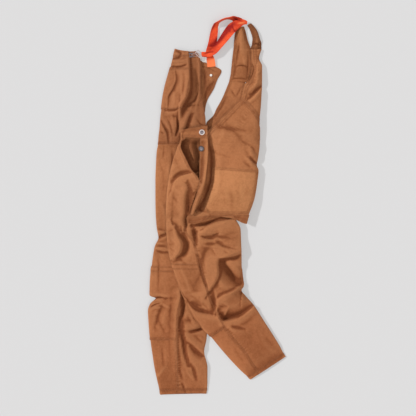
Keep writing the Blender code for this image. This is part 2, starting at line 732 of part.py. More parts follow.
def add_strip(name, table, thick, finish, home):
    """A flat-lying strap or facing through the table's rows, a sheet with Solidify."""
    table = np.array(table, float)
    spans = np.linalg.norm(np.diff(table[:, :2], axis=0), axis=1)
    rows = smooth_rows(table, [max(1, round(span / STRIP_STEP)) for span in spans])
    share = np.linspace(0, 1, STRIP_COLUMNS)
    net = []
    for left_x, left_y, right_x, right_y, left_z, right_z, arch in rows:
        x = left_x + (right_x - left_x) * share
        y = left_y + (right_y - left_y) * share
        z = left_z + (right_z - left_z) * share + arch * np.sin(math.pi * share)
        net.append(np.column_stack([x, y, z]))
    net = np.array(net)
    made = add_mesh(name, net.reshape(-1, 3), net_faces(*net.shape[:2]), finish, home)
    wall = made.modifiers.new("Thickness", "SOLIDIFY")
    wall.thickness = thick * MM
    wall.offset = 1.0
    return made


def add_ribbon(name, stations, finish, home):
    """Flat webbing that runs through the stations and rolls about its own run."""
    table = np.array(stations, float)
    spans = np.linalg.norm(np.diff(table[:, :3], axis=0), axis=1)
    rows = smooth_rows(table, [max(1, round(span / RIBBON_STEP)) for span in spans])
    runs = np.gradient(rows[:, :3], axis=0)
    rings = []
    for row, run in zip(rows, runs):
        run = run / np.linalg.norm(run)
        level = np.cross((0, 0, 1), run)
        level /= np.linalg.norm(level)
        upward = np.cross(run, level)
        roll = math.radians(row[4])
        across_ribbon = level * math.cos(roll) + upward * math.sin(roll)
        face = upward * math.cos(roll) - level * math.sin(roll)
        half, thick = row[3] / 2, WEBBING_THICK / 2
        corners = ((-1, 1), (1, 1), (1, -1), (-1, -1))
        rings.append(np.array([
            row[:3] + across_ribbon * half * u + face * thick * v for u, v in corners
        ]))
    return add_loft(name, rings, finish, home)


def place(made, spot, tilt=(0.0, 0.0, 0.0)):
    """Stands an object at a place in millimetres, turned by angles in degrees."""
    made.location = Vector(spot) * MM
    made.rotation_euler = [math.radians(angle) for angle in tilt]
    return made


def add_turned(name, profile, finish, home):
    """A turned piece whose profile of (radius, height) runs from its top middle to its bottom middle."""
    mesh = bpy.data.meshes.new(name)
    points = [(radius * MM, 0.0, height * MM) for radius, height in profile]
    mesh.from_pydata(points, [(k, k + 1) for k in range(len(points) - 1)], [])
    mesh.materials.append(finish)
    made = bpy.data.objects.new(name, mesh)
    home.objects.link(made)
    turn = made.modifiers.new("Turned", "SCREW")
    turn.steps = turn.render_steps = TURNED_STEPS
    turn.use_merge_vertices = True
    turn.merge_threshold = 1e-5
    turn.use_smooth_shade = True
    return made


def add_plate(name, openings, thick, finish, home):
    """A flat stamped plate: its outline first, then its holes."""
    shape = bpy.data.curves.new(name, "CURVE")
    shape.dimensions = "2D"
    shape.fill_mode = "BOTH"
    shape.extrude = thick / 2 * MM
    for outline in map(rounded_box, openings):
        line = shape.splines.new("POLY")
        line.points.add(len(outline) - 1)
        for point, (x, y) in zip(line.points, outline):
            point.co = (x * MM, y * MM, 0.0, 1.0)
        line.use_cyclic_u = True
    shape.materials.append(finish)
    made = bpy.data.objects.new(name, shape)
    home.objects.link(made)
    return made


def add_wire(name, points, wire, finish, home):
    """A closed loop of round wire."""
    shape = bpy.data.curves.new(name, "CURVE")
    shape.dimensions = "3D"
    shape.bevel_depth = wire * MM
    shape.bevel_resolution = WIRE_SIDES
    line = shape.splines.new("POLY")
    line.points.add(len(points) - 1)
    for point, (x, y, z) in zip(line.points, points):
        point.co = (x * MM, y * MM, z * MM, 1.0)
    line.use_cyclic_u = True
    shape.materials.append(finish)
    made = bpy.data.objects.new(name, shape)
    home.objects.link(made)
    return made


def rounded_box(shape, corner_points=5):
    """Outline points of a rounded rectangle."""
    points = []
    for quarter, (u, v) in enumerate(((1, 1), (-1, 1), (-1, -1), (1, -1))):
        for turn in np.linspace(0, math.pi / 2, corner_points):
            angle = quarter * math.pi / 2 + turn
            points.append((
                shape.x + u * (shape.length / 2 - shape.radius) + shape.radius * math.cos(angle),
                shape.y + v * (shape.width / 2 - shape.radius) + shape.radius * math.sin(angle),
            ))
    return points


def seat(made, mound, x, y, out, turn=0.0):
    """Stands a piece on a mound's cloth at a place, square to the cloth and turned by degrees."""
    tree = BVHTree.FromPolygons(*mound.surface())
    hit, normal = tree.ray_cast(Vector((x, y, OVERHEAD)), Vector((0, 0, -1)))[:2]
    made.location = (hit + normal * out) * MM
    spin = Quaternion((0, 0, 1), math.radians(turn))
    made.rotation_euler = (normal.to_track_quat("Z", "Y") @ spin).to_euler()


def main():
    """Builds every piece of the overalls."""
    for old in list(bpy.data.objects):
        bpy.data.objects.remove(old, do_unlink=True)
    home = collection(GARMENT)
    cutters = collection("cutters")

    right = Mound(RIGHT_SIDE, (9, 5), RIGHT_SIDE_FOLDS, loose_back="right leg top")
    leg = Mound(LEFT_LEG, (7, 9), LEG_FOLDS, rest=Rest([right], LEG_CLEAR), peak=0.4)
    back = Mound(BACK, (5, 9), BACK_FOLDS, rest=Rest([right, leg], LEG_CLEAR, HEM_REACH), peak=0.68,
                 loose_front="seat hem")
    hip = Mound(LEFT_HIP, (7, 3, 3), HIP_FOLDS, rest=Rest([right, back], LEG_CLEAR, HEM_REACH), peak=0.45,
                loose_back="hip end")

    def cloth(name, layers, edges, colour=DUCK):
        return add_wall(name, trimmed(layers, edges), material(name, *colour), home)

    def solid(name, rings):
        return add_loft(name, rings, material(name, *DUCK_SHADE), home)

    # Bib and right leg
    row = right.row
    cloth("bib_front", right.piece((0, row["waist seam"]), (0, right.last)), ("bottom",))
    cloth("chest_pocket", right.piece((row["chest pocket top"], row["chest pocket bottom"]),
                                      (1, right.seam), LAYER), ())
    cloth("right_front", right.piece((row["waist seam"], row["right hem"]), (0, right.seam)),
          ("top", "back"))
    cloth("right_back", right.piece((row["right back top"], row["right hem"]), (right.seam, right.last)),
          ("front",))
    cloth("right_knee_patch", right.piece((row["right patch top"], row["right patch bottom"]),
                                          (1, right.seam - 1), LAYER), ())
    solid("bib_core", core_rings(right, (1, row["waist seam"] - 1), -CORE_DEPTH))
    lids = {row["right hem"] - k: lid for k, lid in enumerate(HEM_LIDS)}
    solid("right_leg_core", core_rings(right, (row["waist seam"], row["right hem"]), -CORE_DEPTH, lids=lids))

    # Left leg
    row = hip.row
    join = [np.concatenate([upper, lower]) for upper, lower in zip(
        hip.piece((row["waistband bottom"], row["hip end"]), (0, hip.seam)),
        leg.piece((0, leg.row["left hem"]), (0, leg.seam)))]
    cloth("left_front", join, ("top", "back"))
    cloth("waistband", hip.piece((row["waistband top"], row["waistband bottom"]), (0, hip.last)),
          ("bottom",))
    fly = hip.seam + 3
    cloth("placket", hip.piece((row["waistband bottom"], row["hip end"]), (fly, hip.last)),
          ("top", "front"))
    cloth("pocket_facing", hip.piece((row["waistband bottom"], row["pocket opening end"]),
                                     (hip.seam - 1, fly + 1), -LAYER - GAP), ("top",))
    cloth("left_back", leg.piece((0, leg.row["left hem"]), (leg.seam, leg.last)), ("front",))
    cloth("left_knee_patch", leg.piece((leg.row["left patch top"], leg.row["left patch bottom"]),
                                       (1, leg.seam - 1), LAYER), ())
    hip_core = solid("hip_core", core_rings(hip, (1, row["hip end"]), -HIP_DEPTH, HIP_SETBACK,
                                            tail=HIP_TAIL))
    lids = {leg.row["left hem"] - k: lid for k, lid in enumerate(HEM_LIDS)}
    leg_core = solid("left_leg_core", core_rings(leg, (0, leg.row["left hem"]), -CORE_DEPTH, lids=lids))
    for name, out, piece in (("hip_clearance", GAP, hip_core), ("leg_clearance", LEG_CLEAR, leg_core)):
        cutter = add_loft(name, envelope_rings(right, out), material(name, *DUCK), cutters)
        cutter.hide_render = True
        cutter.display_type = "WIRE"
        apply_cut(piece, cutter)

    # Back
    row = back.row
    cloth("back_yoke", back.piece((0, row["yoke seam"]), (0, back.last)), ("bottom",))
    cloth("back_panel", back.piece((row["yoke seam"], row["seat hem"]), (0, back.last)), ("top",))
    cloth("back_patch_pocket", back.piece((row["back pocket top"], row["back pocket bottom"]),
                                          (back.seam, back.last - 2), LAYER), ("bottom",))
    cloth("seat_band", back.piece((row["seat hem"] - 1, row["seat hem"]), (0, back.last - 1), LAYER),
          ("top",))
    solid("back_core", core_rings(back, (row["armhole top"], row["back pocket bottom"]), -CORE_DEPTH,
                                  tail=BACK_TAIL))

    # Straps and what shows of the garment's far side
    for name, table in (("near_strap", NEAR_STRAP), ("far_strap", FAR_STRAP)):
        add_strip(name, table, STRAP_THICK, material(name, *DUCK), home)
    for name, table in (("bib_far_half", BIB_FAR_HALF), ("side_far_half", SIDE_FAR_HALF)):
        add_strip(name, table, CLOTH, material(name, *DUCK_SHADE), home)
    for name, stations in (("webbing_loop", WEBBING_LOOP), ("webbing_cross", WEBBING_CROSS),
                           ("webbing_end", WEBBING_END)):
        add_ribbon(name, stations, material(name, *WEBBING), home)

    # Hardware
    for name, (x, y) in BUTTONS.items():
        seat(add_turned(name, BUTTON_PROFILE, material(name, *STEEL), home), hip, x, y, SHANK)
    place(add_turned("far_rivet", RIVET_PROFILE, material("far_rivet", *ENAMEL), home), RIVET_PLACE)
    hook = add_plate("hook", HOOK, HOOK_THICK, material("hook", *STEEL), home)
    seat(hook, right, *HOOK_PLACE, HOOK_TURN)
    slider = add_plate("slider", SLIDER, SLIDER_THICK, material("slider", *STEEL), home)
    place(slider, SLIDER_PLACE, SLIDER_TILT)
    for name, ring, finish in (("hook_link", LINK, STEEL), ("strap_ring", RING, ENAMEL)):
        bend = Opening(ring["long"], ring["wide"], ring["wide"] * WIRE_CORNER)
        line = [(x, y, 0.0) for x, y in rounded_box(bend)]
        place(add_wire(name, line, ring["wire"], material(name, *finish), home), ring["place"], ring["tilt"])


main()
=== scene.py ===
"""Dresses the bib overalls: duck cloth, stitching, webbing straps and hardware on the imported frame.

The overalls lie on their side on a flat surface at z = 0, straps towards +Y and the wearer's front
towards -X. Tables are in millimetres, as a cutter would write them, and meshes are in metres.
"""

import logging
import math
from collections.abc import Callable
from dataclasses import dataclass, field
from enum import Enum
from typing import NamedTuple

import bpy
import numpy as np
from mathutils import Matrix, Vector
from mathutils.bvhtree import BVHTree


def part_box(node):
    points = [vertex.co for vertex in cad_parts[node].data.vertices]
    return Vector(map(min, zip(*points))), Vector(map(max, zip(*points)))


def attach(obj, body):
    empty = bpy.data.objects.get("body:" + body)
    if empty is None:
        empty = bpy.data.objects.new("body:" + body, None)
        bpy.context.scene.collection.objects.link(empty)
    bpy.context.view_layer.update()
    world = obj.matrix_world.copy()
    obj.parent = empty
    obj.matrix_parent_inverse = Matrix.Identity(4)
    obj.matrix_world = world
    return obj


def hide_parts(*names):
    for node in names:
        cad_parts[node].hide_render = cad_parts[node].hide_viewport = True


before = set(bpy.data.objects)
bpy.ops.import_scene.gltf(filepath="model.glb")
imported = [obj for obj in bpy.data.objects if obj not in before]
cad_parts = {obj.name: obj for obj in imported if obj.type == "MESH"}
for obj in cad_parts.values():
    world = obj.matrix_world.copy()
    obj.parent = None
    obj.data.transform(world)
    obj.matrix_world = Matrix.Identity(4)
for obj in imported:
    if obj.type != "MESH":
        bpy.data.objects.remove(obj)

MM = 0.001
TINY = 1e-9  # keeps a length from being nought
log = logging.getLogger("bib overalls")

# The net of cloth points
ARCH_POINTS = 193  # places at which a section's outline is worked out
ROLL_POINTS = 8  # and round its folded edge
STEEP_WEIGHT = 2.2  # how much closer together the columns lie where the cloth is steep
ROW_STEP = 2.9  # spacing of the rows of points
FINER = 7  # columns of points for each column that the tables count
FOOT_BLUR = 5  # rows over which a part's foot is evened out
UNDER_COLUMNS = 34

# Heights of the cloth
CLOTH = 1.4  # one layer of duck with its seam allowances
LAYER = 1.8  # how far a piece laid on a panel stands out from it
CURL = 9.0  # height of the widest point of a folded edge above what it lies on
CURL_SHARE = 0.42  # the most of a part's height that its curl takes up
CROWD = 0.8  # the most that any edge takes up
TUCK = 7.0  # how far a folded edge rolls back under itself
FREE_EDGE = 12.0  # height of a loose edge above what it lies on
FLY_CURL = 24.0  # height of the widest point of the fly's edge
ARCH_POWER = 2.2  # how square-shouldered the cloth's sections are
ROUND_POWER = {False: 0.5, True: 1.0}  # a folded edge rises steeply, a loose one gently
FOOT_FADE = 1.3  # curls over which folds fade in from a folded edge
LOWEST = 5.8  # the cloth never sinks closer than this to the surface
HIGH = 64.0  # folds flatten above this height
FLATTENED = 0.35  # to this share of their rise
LEG_CLEAR = 2.4  # a leg's cloth stays above the other leg and its knee patch
UNDER_Z = 1.8  # height of the lowest layer
UNDER_INSET = 1.2  # how far it stays inside the edges
UNDER_ROOM = 4.0  # how far it stays below the cloth's seam
BAND_LIFT = 6.0  # how far the seat band's loose end stands up
BAND_FREE = -40.0  # place across from which that end is loose
BAND_RUN = 50.0  # over which it comes free
BAND_OUT = (8.0, 4.0)  # how far its upper and lower edge move out
FACING_SINK = 26.0  # how far the pocket's facing lies below the gaping front
NET_GAP = 0.2  # a net never comes closer than this to the surface
SEWN_GAP = 0.15  # nor does sewn cloth

# What a part of the garment feels of the parts below it
REST_CORNER = (-390, -840)
REST_SHAPE = (260, 560)
REST_CELL = 3.0
REST_REACH = 9.0
HEM_REACH = 17.0
REST_BLUR = 3

# Folds
CREST = 0.09  # how round a fold's crest is, as a share of its reach
HOLLOW = 0.6  # how much hollower the shorter slope of a fold is
FOLD_ENDS = (0.06, 0.94)  # a fold doesn't fade out altogether at its ends
FOLD_TAPER = 0.6

# Painted light: reach and weight of each blur that the cloth is compared with, for a painted highlight on ridges and
# painted shade in creases, and the pale band near its edges, partly rubbed pale and partly a painted highlight
RIDGE_AND_CREASE_BLURS = ((2, 1.0), (5, 0.4), (11, 0.12))
RUB_AND_HIGHLIGHT_AT = 9.0
RUB_AND_HIGHLIGHT_WIDTH = 7.0
RUB_AND_HIGHLIGHT_WEIGHT = 0.9

# Seams
SEAM_RISE = 1.3  # of doubled cloth
SEAM_RAMP = 2.4
GROOVE_WIDTH = 3.0  # of the dip along a row of stitches, and of the painted shade laid along it
GROOVE_DEPTH = 0.5
EDGE_ROUND = 1.2  # how far in from an edge it is rounded
EDGE_DROP = 0.55
EDGE_RUB = 1.6  # how far in from an edge it is rubbed pale
EDGE_PALE = 0.55  # and how pale
ROPE_RISE = 0.8  # of the twists of a hem that shrank
ROPE_PITCH = 1.5
ROPE_MIDDLE = 9.0  # how far in from the hem's edge the twists lie
ROPE_REACH = 8.0
POCKET_CORNER = 26.0

# Where panels begin and join
RIGHT_BACK_MORE = 50  # rows that the right back runs on above its mark
BACK_UNDER_SHORT = 15  # rows that the layer under the back stops short of the seat's hem
TUCKED_DOWN = 3.0  # how far the left front passes below the fly
TUCKED_OVER = 12.0  # and how much cloth that takes
JOIN_SHARES = (0.2, 0.4, 0.6, 0.8)  # places of the rows between the hip and the leg
JOIN_REACH = 6  # rows above and below those that are evened out with them
JOIN_ROUNDS = 6

# Stitching
STITCH = 3.4  # length of one stitch
STITCH_GAP = 1.1
THREAD = 0.95  # width of the thread as it lies
THREAD_TALL = 0.85
THREAD_OUT = 0.9  # how far stitches along given lines stand out from the cloth
STITCH_TRIM = 2.0  # left free at each end of a row
STITCH_AHEAD = 1.2  # how far to each side of its middle a stitch takes its direction
DROP_FROM = 400.0  # height from which the given lines fall on the cloth
CLOTH_CREASE = 48  # cloth is shaded smooth over edges up to this many degrees


class Section(NamedTuple):
    """A line across a part of the garment, from its front edge to its back edge."""

    front_x: float
    front_y: float
    back_x: float
    back_y: float
    seam_x: float  # where the part's lengthwise seam crosses the line
    crown: float  # top of the cloth above the surface
    bow: float = 0.0  # how far the middle of the line bends towards the bib
    mark: str = ""  # name of a seam or edge that runs along the line
    fly_x: float = 0.0  # on the hip, where the fly's front edge crosses the line


class Fold(NamedTuple):
    """A soft ridge, or with a negative rise a trough. Hands are as seen walking along the path."""

    path: tuple  # corner points (x, y) of a smooth line
    rise: float
    left_hand: float  # reach of its slope to the left of the path
    right_hand: float


class Pull(NamedTuple):
    """A place where the cloth is dragged sideways."""

    x: float
    y: float
    over: float
    along: float
    reach_x: float
    reach_y: float


RIGHT_SIDE = (
    Section(-168, 628, -82, 618, -112, 14, -6, "bib top"),
    Section(-177, 592, -69, 592, -110, 20),
    Section(-186, 554, -61, 552, -110, 25, 0, "chest pocket top"),
    Section(-196, 518, -62, 516, -110, 27),
    Section(-206, 482, -64, 476, -112, 28),
    Section(-216, 432, -59, 430, -122, 27),
    Section(-222, 386, -52, 386, -142, 24, 0, "chest pocket bottom"),
    Section(-227, 348, -46, 348, -148, 21),
    Section(-230, 308, -44, 310, -146, 20),
    Section(-234, 276, -60, 272, -146, 20),
    Section(-236, 245, -76, 245, -144, 20, 0, "waist seam"),
    Section(-241, 216, -84, 216, -132, 22, 0, "right leg top"),
    Section(-244, 164, -88, 164, -148, 24),
    Section(-246, 100, -88, 100, -156, 26),
    Section(-246, 36, -88, 36, -164, 26),
    Section(-245, -24, -88, -24, -166, 26),
    Section(-241, -84, -84, -84, -166, 26),
    Section(-234, -126, -72, -126, -162, 24),
    Section(-249, -162, -64, -162, -156, 27),
    Section(-261, -240, -56, -240, -144, 29, 0, "right patch top"),
    Section(-267, -304, -48, -304, -140, 29, 0, "right back top"),
    Section(-268, -354, -44, -354, -140, 28),
    Section(-243, -368, -44, -368, -143, 27),
    Section(-266, -392, -42, -392, -147, 28),
    Section(-274, -420, -40, -420, -153, 28),
    Section(-271, -476, -38, -476, -158, 27),
    Section(-266, -534, -42, -532, -159, 26, 0, "right patch bottom"),
    Section(-259, -584, -51, -582, -158, 24),
    Section(-249, -648, -38, -644, -156, 21),
    Section(-238, -700, -38, -698, -154, 15),
    Section(-230, -735, -40, -733, -153, 9.5, 0, "right hem fold"),
    Section(-226, -754, -44, -750, -153, 8, 4, "right hem"),
)

LEFT_HIP = (
    Section(-144, 302, -39, 319, -122, 40, 0, "waistband top", -68),
    Section(-144, 272, -37, 266, -124, 44, 0, "waistband bottom", -68),
    Section(-148, 254, -36, 252, -140, 43, 0, "", -68),
    Section(-156, 236, -36, 232, -144, 46, 0, "", -68),
    Section(-173, 188, -37, 188, -124, 51, 0, "", -69),
    Section(-184, 148, -41, 146, -104, 52, 0, "", -70),
    Section(-193, 104, -46, 102, -72, 53, 0, "pocket opening end", -70),
    Section(-200, 44, -61, 42, -84, 53, 0, "", -82),
    Section(-203, -4, -80, -2, -100, 52, 0, "", -98),
    Section(-204, -34, -94, -34, -108, 50, 0, "hip end", -106),
)

LEG_TOP = -54.0
LEFT_LEG = (
    Section(-204, -32, 72, -32, -124, 27, 0, "under the seat"),
    Section(-204, LEG_TOP, 76, LEG_TOP, -112, 42, 0, "left leg top"),
    Section(-202, -94, 94, -94, -123, 46),
    Section(-199, -148, 96, -148, -86, 50),
    Section(-189, -204, 98, -206, -72, 55),
    Section(-183, -228, 98, -232, -66, 56, 0, "left patch top"),
    Section(-164, -284, 102, -276, -50, 55),
    Section(-137, -354, 107, -316, -34, 52),
    Section(-110, -408, 98, -336, -22, 48),
    Section(-82, -456, 114, -358, -4, 45),
    Section(-54, -492, 132, -378, 16, 42),
    Section(-26, -520, 149, -398, 33, 39, 0, "left patch bottom"),
    Section(12, -566, 186, -456, 72, 34),
    Section(54, -614, 222, -512, 114, 28),
    Section(94, -656, 249, -556, 143, 20),
    Section(120, -680, 265, -587, 162, 10, 0, "left hem fold"),
    Section(134, -693, 274, -602, 171, 8, 0, "left hem"),
)

BACK = (
    Section(133, 624, 178, 626, 158, 13, 0, "yoke top"),
    Section(135, 592, 168, 590, 152, 15),
    Section(139, 560, 180, 558, 159, 22),
    Section(134, 524, 180, 518, 156, 26),
    Section(124, 500, 180, 484, 150, 29),
    Section(109, 484, 178, 446, 142, 31),
    Section(100, 456, 175, 396, 136, 33, 0, "armhole top"),
    Section(94, 428, 169, 334, 128, 36, 12, "yoke seam"),
    Section(68, 402, 172, 306, 116, 38, 8),
    Section(43, 376, 172, 286, 104, 39, 5),
    Section(16, 348, 172, 272, 88, 40, 3),
    Section(-6, 323, 171, 258, 68, 41),
    Section(-34, 304, 170, 242, 46, 42),
    Section(-54, 272, 168, 222, 26, 42),
    Section(-60, 232, 165, 196, 8, 42),
    Section(-62, 192, 159, 163, 0, 41),
    Section(-62, 160, 166, 140, -6, 42, 0, "back pocket top"),
    Section(-64, 104, 161, 96, -10, 43),
    Section(-72, 52, 152, 40, -25, 44),
    Section(-86, 4, 140, 0, -42, 43, 0, "back pocket curve"),
    Section(-104, -32, 128, -30, -30, 41, 0, "back pocket bottom"),
    Section(-115, -66, 116, -70, -26, 38, 26, "seat hem"),
)

# Where the seat's hem hangs lower and its end stands out over the leg
BACK_PULLS = (
    Pull(-68, -62, 0, -22, 34, 20),
    Pull(-108, -46, -10, 0, 16, 14),
    Pull(92, -72, 0, -7, 20, 14),
)

# Ridges and troughs of the bib and the right leg, from the straps down
RIGHT_SIDE_FOLDS = (
    Fold(((-160, 618), (-144, 606), (-150, 592), (-170, 586)), -8, 10, 14),
    Fold(((-186, 580), (-150, 574), (-118, 582)), 5, 10, 10),
    Fold(((-118, 564), (-148, 553), (-184, 556)), -9, 14, 9),
    Fold(((-114, 600), (-113, 545), (-112, 480), (-120, 440), (-140, 404), (-149, 376), (-152, 344)), 27, 10, 60),
    Fold(((-72, 590), (-69, 540), (-68, 470), (-72, 420)), 6, 8, 16),
    Fold(((-164, 536), (-160, 504), (-172, 468), (-192, 430), (-194, 386)), -8, 18, 8),
    Fold(((-206, 380), (-172, 379), (-144, 394)), -6, 9, 6),
    Fold(((-145, 404), (-147, 350), (-145, 296)), 20, 54, 9),
    Fold(((-94, 404), (-92, 350), (-92, 292)), 12, 50, 50),
    Fold(((-48, 430), (-42, 360), (-40, 298)), 17, 9, 64),
    Fold(((-104, 382), (-122, 344), (-131, 316), (-138, 290)), 9, 9, 20),
    Fold(((-96, 366), (-112, 336), (-122, 300)), -6, 14, 9),
    Fold(((-156, 352), (-155, 318), (-162, 282)), -16, 7, 9),
    Fold(((-226, 350), (-212, 316), (-198, 290), (-194, 252)), -8, 13, 7),
    Fold(((-182, 236), (-178, 180), (-182, 140)), -2.4, 16, 12),
    Fold(((-240, -100), (-196, -112)), 8, 12, 12),
    Fold(((-236, -128), (-190, -104)), -10, 11, 11),
    Fold(((-244, -168), (-198, -172)), 7, 14, 14),
    Fold(((-238, -190), (-232, -250), (-234, -336)), -2.6, 24, 12),
    Fold(((-246, -362), (-206, -368)), -10, 12, 10),
    Fold(((-212, -380), (-232, -430), (-246, -484)), -6, 26, 16),
    Fold(((-148, -350), (-149, -400), (-156, -462)), 12, 8, 36),
    Fold(((-155, -430), (-160, -540), (-156, -640)), 6, 7, 30),
    Fold(((-136, -362), (-134, -408), (-146, -450)), -15, 11, 9),
    Fold(((-134, -490), (-104, -489), (-60, -472)), 11, 36, 9),
    Fold(((-104, -498), (-76, -492), (-50, -484)), -13, 7, 13),
    Fold(((-146, -464), (-136, -520), (-128, -580), (-114, -634)), -13, 18, 14),
    Fold(((-128, -516), (-100, -540), (-72, -562), (-46, -580)), 9, 26, 10),
    Fold(((-116, -544), (-84, -574), (-46, -606)), -15, 10, 30),
    Fold(((-104, -630), (-92, -660), (-84, -692)), -5, 14, 10),
)

# Of the left hip
HIP_FOLDS = (
    Fold(((-92, 134), (-124, 130), (-152, 120), (-174, 98), (-184, 60)), -10, 10, 40),
    Fold(((-98, 133), (-124, 129), (-152, 119), (-172, 98)), -12, 9, 20),
    Fold(((-140, 266), (-144, 236), (-124, 188), (-104, 148), (-74, 104)), 15, 5, 40),
    Fold(((-122, 84), (-130, 40), (-133, -4), (-134, -44), (-132, -84)), 15, 13, 44),
    Fold(((-106, 60), (-110, 16), (-114, -30), (-116, -80)), -7, 12, 12),
    Fold(((-136, 98), (-116, 84), (-98, 48)), -6, 12, 10),
    Fold(((-100, 40), (-84, 56), (-72, 52)), -3, 7, 9),
    Fold(((-37, 262), (-38, 180), (-46, 110), (-69, 34), (-90, -16), (-108, -80)), 10, 9, 20),
    Fold(((-66, 50), (-80, 16), (-91, -16), (-104, -56)), 10, 9, 24),
)

# Of the left leg
LEG_FOLDS = (
    Fold(((-134, 40), (-134, -20), (-137, -56), (-134, -86)), 16, 12, 44),
    Fold(((-120, -20), (-122, -60), (-122, -96)), -13, 12, 10),
    Fold(((-174, -82), (-158, -120), (-145, -150), (-150, -180), (-176, -208)), 27, 15, 50),
    Fold(((-140, -96), (-130, -124), (-120, -152), (-126, -178), (-150, -204)), -15, 24, 16),
    Fold(((-92, -84), (-84, -114), (-84, -150)), -26, 14, 22),
    Fold(((-98, -80), (-50, -74), (0, -56), (70, -44)), -24, 18, 10),
    Fold(((-76, -110), (-54, -100), (-24, -80), (20, -68), (70, -52)), 20, 10, 50),
    Fold(((-72, -112), (-48, -125), (-22, -127), (0, -114)), -18, 20, 9),
    Fold(((-14, -118), (44, -126)), -4, 10, 12),
    Fold(((-6, -136), (30, -158), (84, -170)), -6, 14, 12),
    Fold(((-74, -190), (-64, -240), (-46, -300), (-30, -336)), -5, 5, 12),
    Fold(((-32, -332), (-12, -296), (0, -262), (-1, -226), (4, -208), (38, -198), (98, -178)), 28, 60, 13),
    Fold(((6, -206), (34, -246), (62, -280), (102, -324)), -32, 34, 52),
    Fold(((120, -236), (104, -290), (100, -330)), -22, 20, 86),
    Fold(((24, -208), (60, -206), (92, -196)), -9, 9, 24),
    Fold(((-2, -396), (6, -374), (24, -358), (60, -342), (106, -314)), 24, 13, 52),
    Fold(((4, -414), (30, -450), (88, -436), (152, -390)), -34, 46, 9),
    Fold(((26, -462), (86, -448), (150, -398)), 8, 8, 26),
    Fold(((98, -344), (132, -374)), -10, 12, 18),
    Fold(((-14, -342), (-8, -384), (-3, -424)), -14, 7, 28),
    Fold(((-116, -376), (-74, -414), (-4, -430)), -20, 46, 12),
    Fold(((-112, -350), (-70, -346), (-24, -350)), 3, 12, 30),
    Fold(((62, -478), (108, -488)), -5, 12, 12),
    Fold(((40, -474), (70, -498)), 3, 12, 12),
)

# Of the back
BACK_FOLDS = (
    Fold(((136, 574), (147, 548), (142, 524), (126, 490)), -12, 13, 7),
    Fold(((122, 566), (132, 534), (118, 500)), 5, 7, 18),
    Fold(((184, 486), (154, 452), (130, 428)), -16, 8, 24),
    Fold(((172, 452), (146, 426), (128, 412)), 4, 9, 12),
    Fold(((160, 560), (160, 500), (140, 456)), 7, 16, 16),
    Fold(((112, 480), (84, 430), (34, 368), (-8, 320)), 5, 12, 16),
    Fold(((-14, 316), (60, 306), (134, 296)), -3, 26, 26),
    Fold(((40, 330), (110, 250), (160, 216)), -3, 30, 30),
    Fold(((128, 232), (150, 192)), 7, 12, 20),
    Fold(((120, 188), (140, 168), (162, 148)), 9, 7, 18),
    Fold(((132, 192), (152, 172), (166, 164)), -10, 9, 6),
    Fold(((4, 136), (0, 60)), 3, 20, 20),
    Fold(((50, 80), (60, -14)), -0.9, 16, 16),
    Fold(((-34, 262), (-22, 190), (-24, 120), (-50, 34), (-82, -20), (-108, -70)), -14, 30, 30),
)

# Smaller creases of the bib and the right leg
RIGHT_SIDE_CREASES = (
    Fold(((-228, 560), (-206, 520), (-200, 470)), -2.5, 9, 12),
    Fold(((-176, 470), (-170, 430), (-172, 400)), 2.0, 9, 14),
    Fold(((-148, 548), (-140, 500), (-146, 450)), 2.0, 12, 12),
    Fold(((-130, 520), (-134, 460), (-142, 420)), -1.8, 10, 10),
    Fold(((-226, 372), (-214, 320), (-210, 286)), 2.2, 12, 12),
    Fold(((-200, 352), (-184, 316), (-178, 282)), -2.4, 8, 12),
    Fold(((-186, 370), (-176, 340), (-174, 300)), 2.4, 9, 12),
    Fold(((-236, 300), (-206, 288)), -1.6, 8, 10),
    Fold(((-76, 430), (-86, 380)), 2.0, 9, 9),
    Fold(((-84, 350), (-66, 326), (-50, 320)), -2.6, 8, 8),
    Fold(((-120, 400), (-90, 420), (-72, 460)), -2.2, 9, 9),
    Fold(((-110, 330), (-84, 316)), 2.2, 8, 8),
    Fold(((-236, 200), (-214, 120), (-212, 40)), -1.5, 18, 16),
    Fold(((-196, 180), (-190, 90)), 1.3, 18, 16),
    Fold(((-212, 236), (-214, 190)), -1.8, 9, 9),
    Fold(((-232, 20), (-206, -30), (-200, -80)), 2.0, 14, 18),
    Fold(((-248, -148), (-214, -150)), 3.0, 7, 8),
    Fold(((-240, -176), (-212, -186), (-190, -184)), -3.0, 8, 9),
    Fold(((-256, -376), (-240, -364), (-222, -360)), -5.0, 6, 6),
    Fold(((-262, -386), (-244, -376), (-224, -372), (-208, -366)), 4.6, 6, 6),
    Fold(((-262, -402), (-246, -392), (-226, -386)), -5.0, 6, 6),
    Fold(((-264, -414), (-244, -404), (-222, -404)), 3.4, 7, 7),
    Fold(((-222, -388), (-190, -404)), 2.4, 9, 9),
    Fold(((-240, -440), (-200, -520)), -2.0, 16, 16),
    Fold(((-110, -430), (-90, -470)), 3.0, 9, 9),
    Fold(((-84, -440), (-64, -462)), -2.6, 8, 8),
    Fold(((-74, -520), (-52, -540)), 2.6, 9, 9),
    Fold(((-120, -660), (-96, -690)), 2.0, 9, 9),
    Fold(((-140, -704), (-126, -744)), -4.0, 6, 6),
    Fold(((-150, -648), (-138, -690)), -3.0, 7, 9),
    Fold(((-246, -690), (-206, -640)), 2.2, 18, 14),
    Fold(((-220, -560), (-214, -630)), -2.0, 14, 14),
)

# Of the left hip
HIP_CREASES = (
    Fold(((-134, 232), (-120, 190)), 1.6, 10, 10),
    Fold(((-190, 90), (-160, 60), (-140, 50)), 1.8, 14, 14),
    Fold(((-60, 190), (-58, 120)), -1.4, 7, 7),
    Fold(((-128, 116), (-110, 80)), -2.0, 12, 12),
    Fold(((-176, 40), (-150, 10)), -1.6, 12, 12),
)

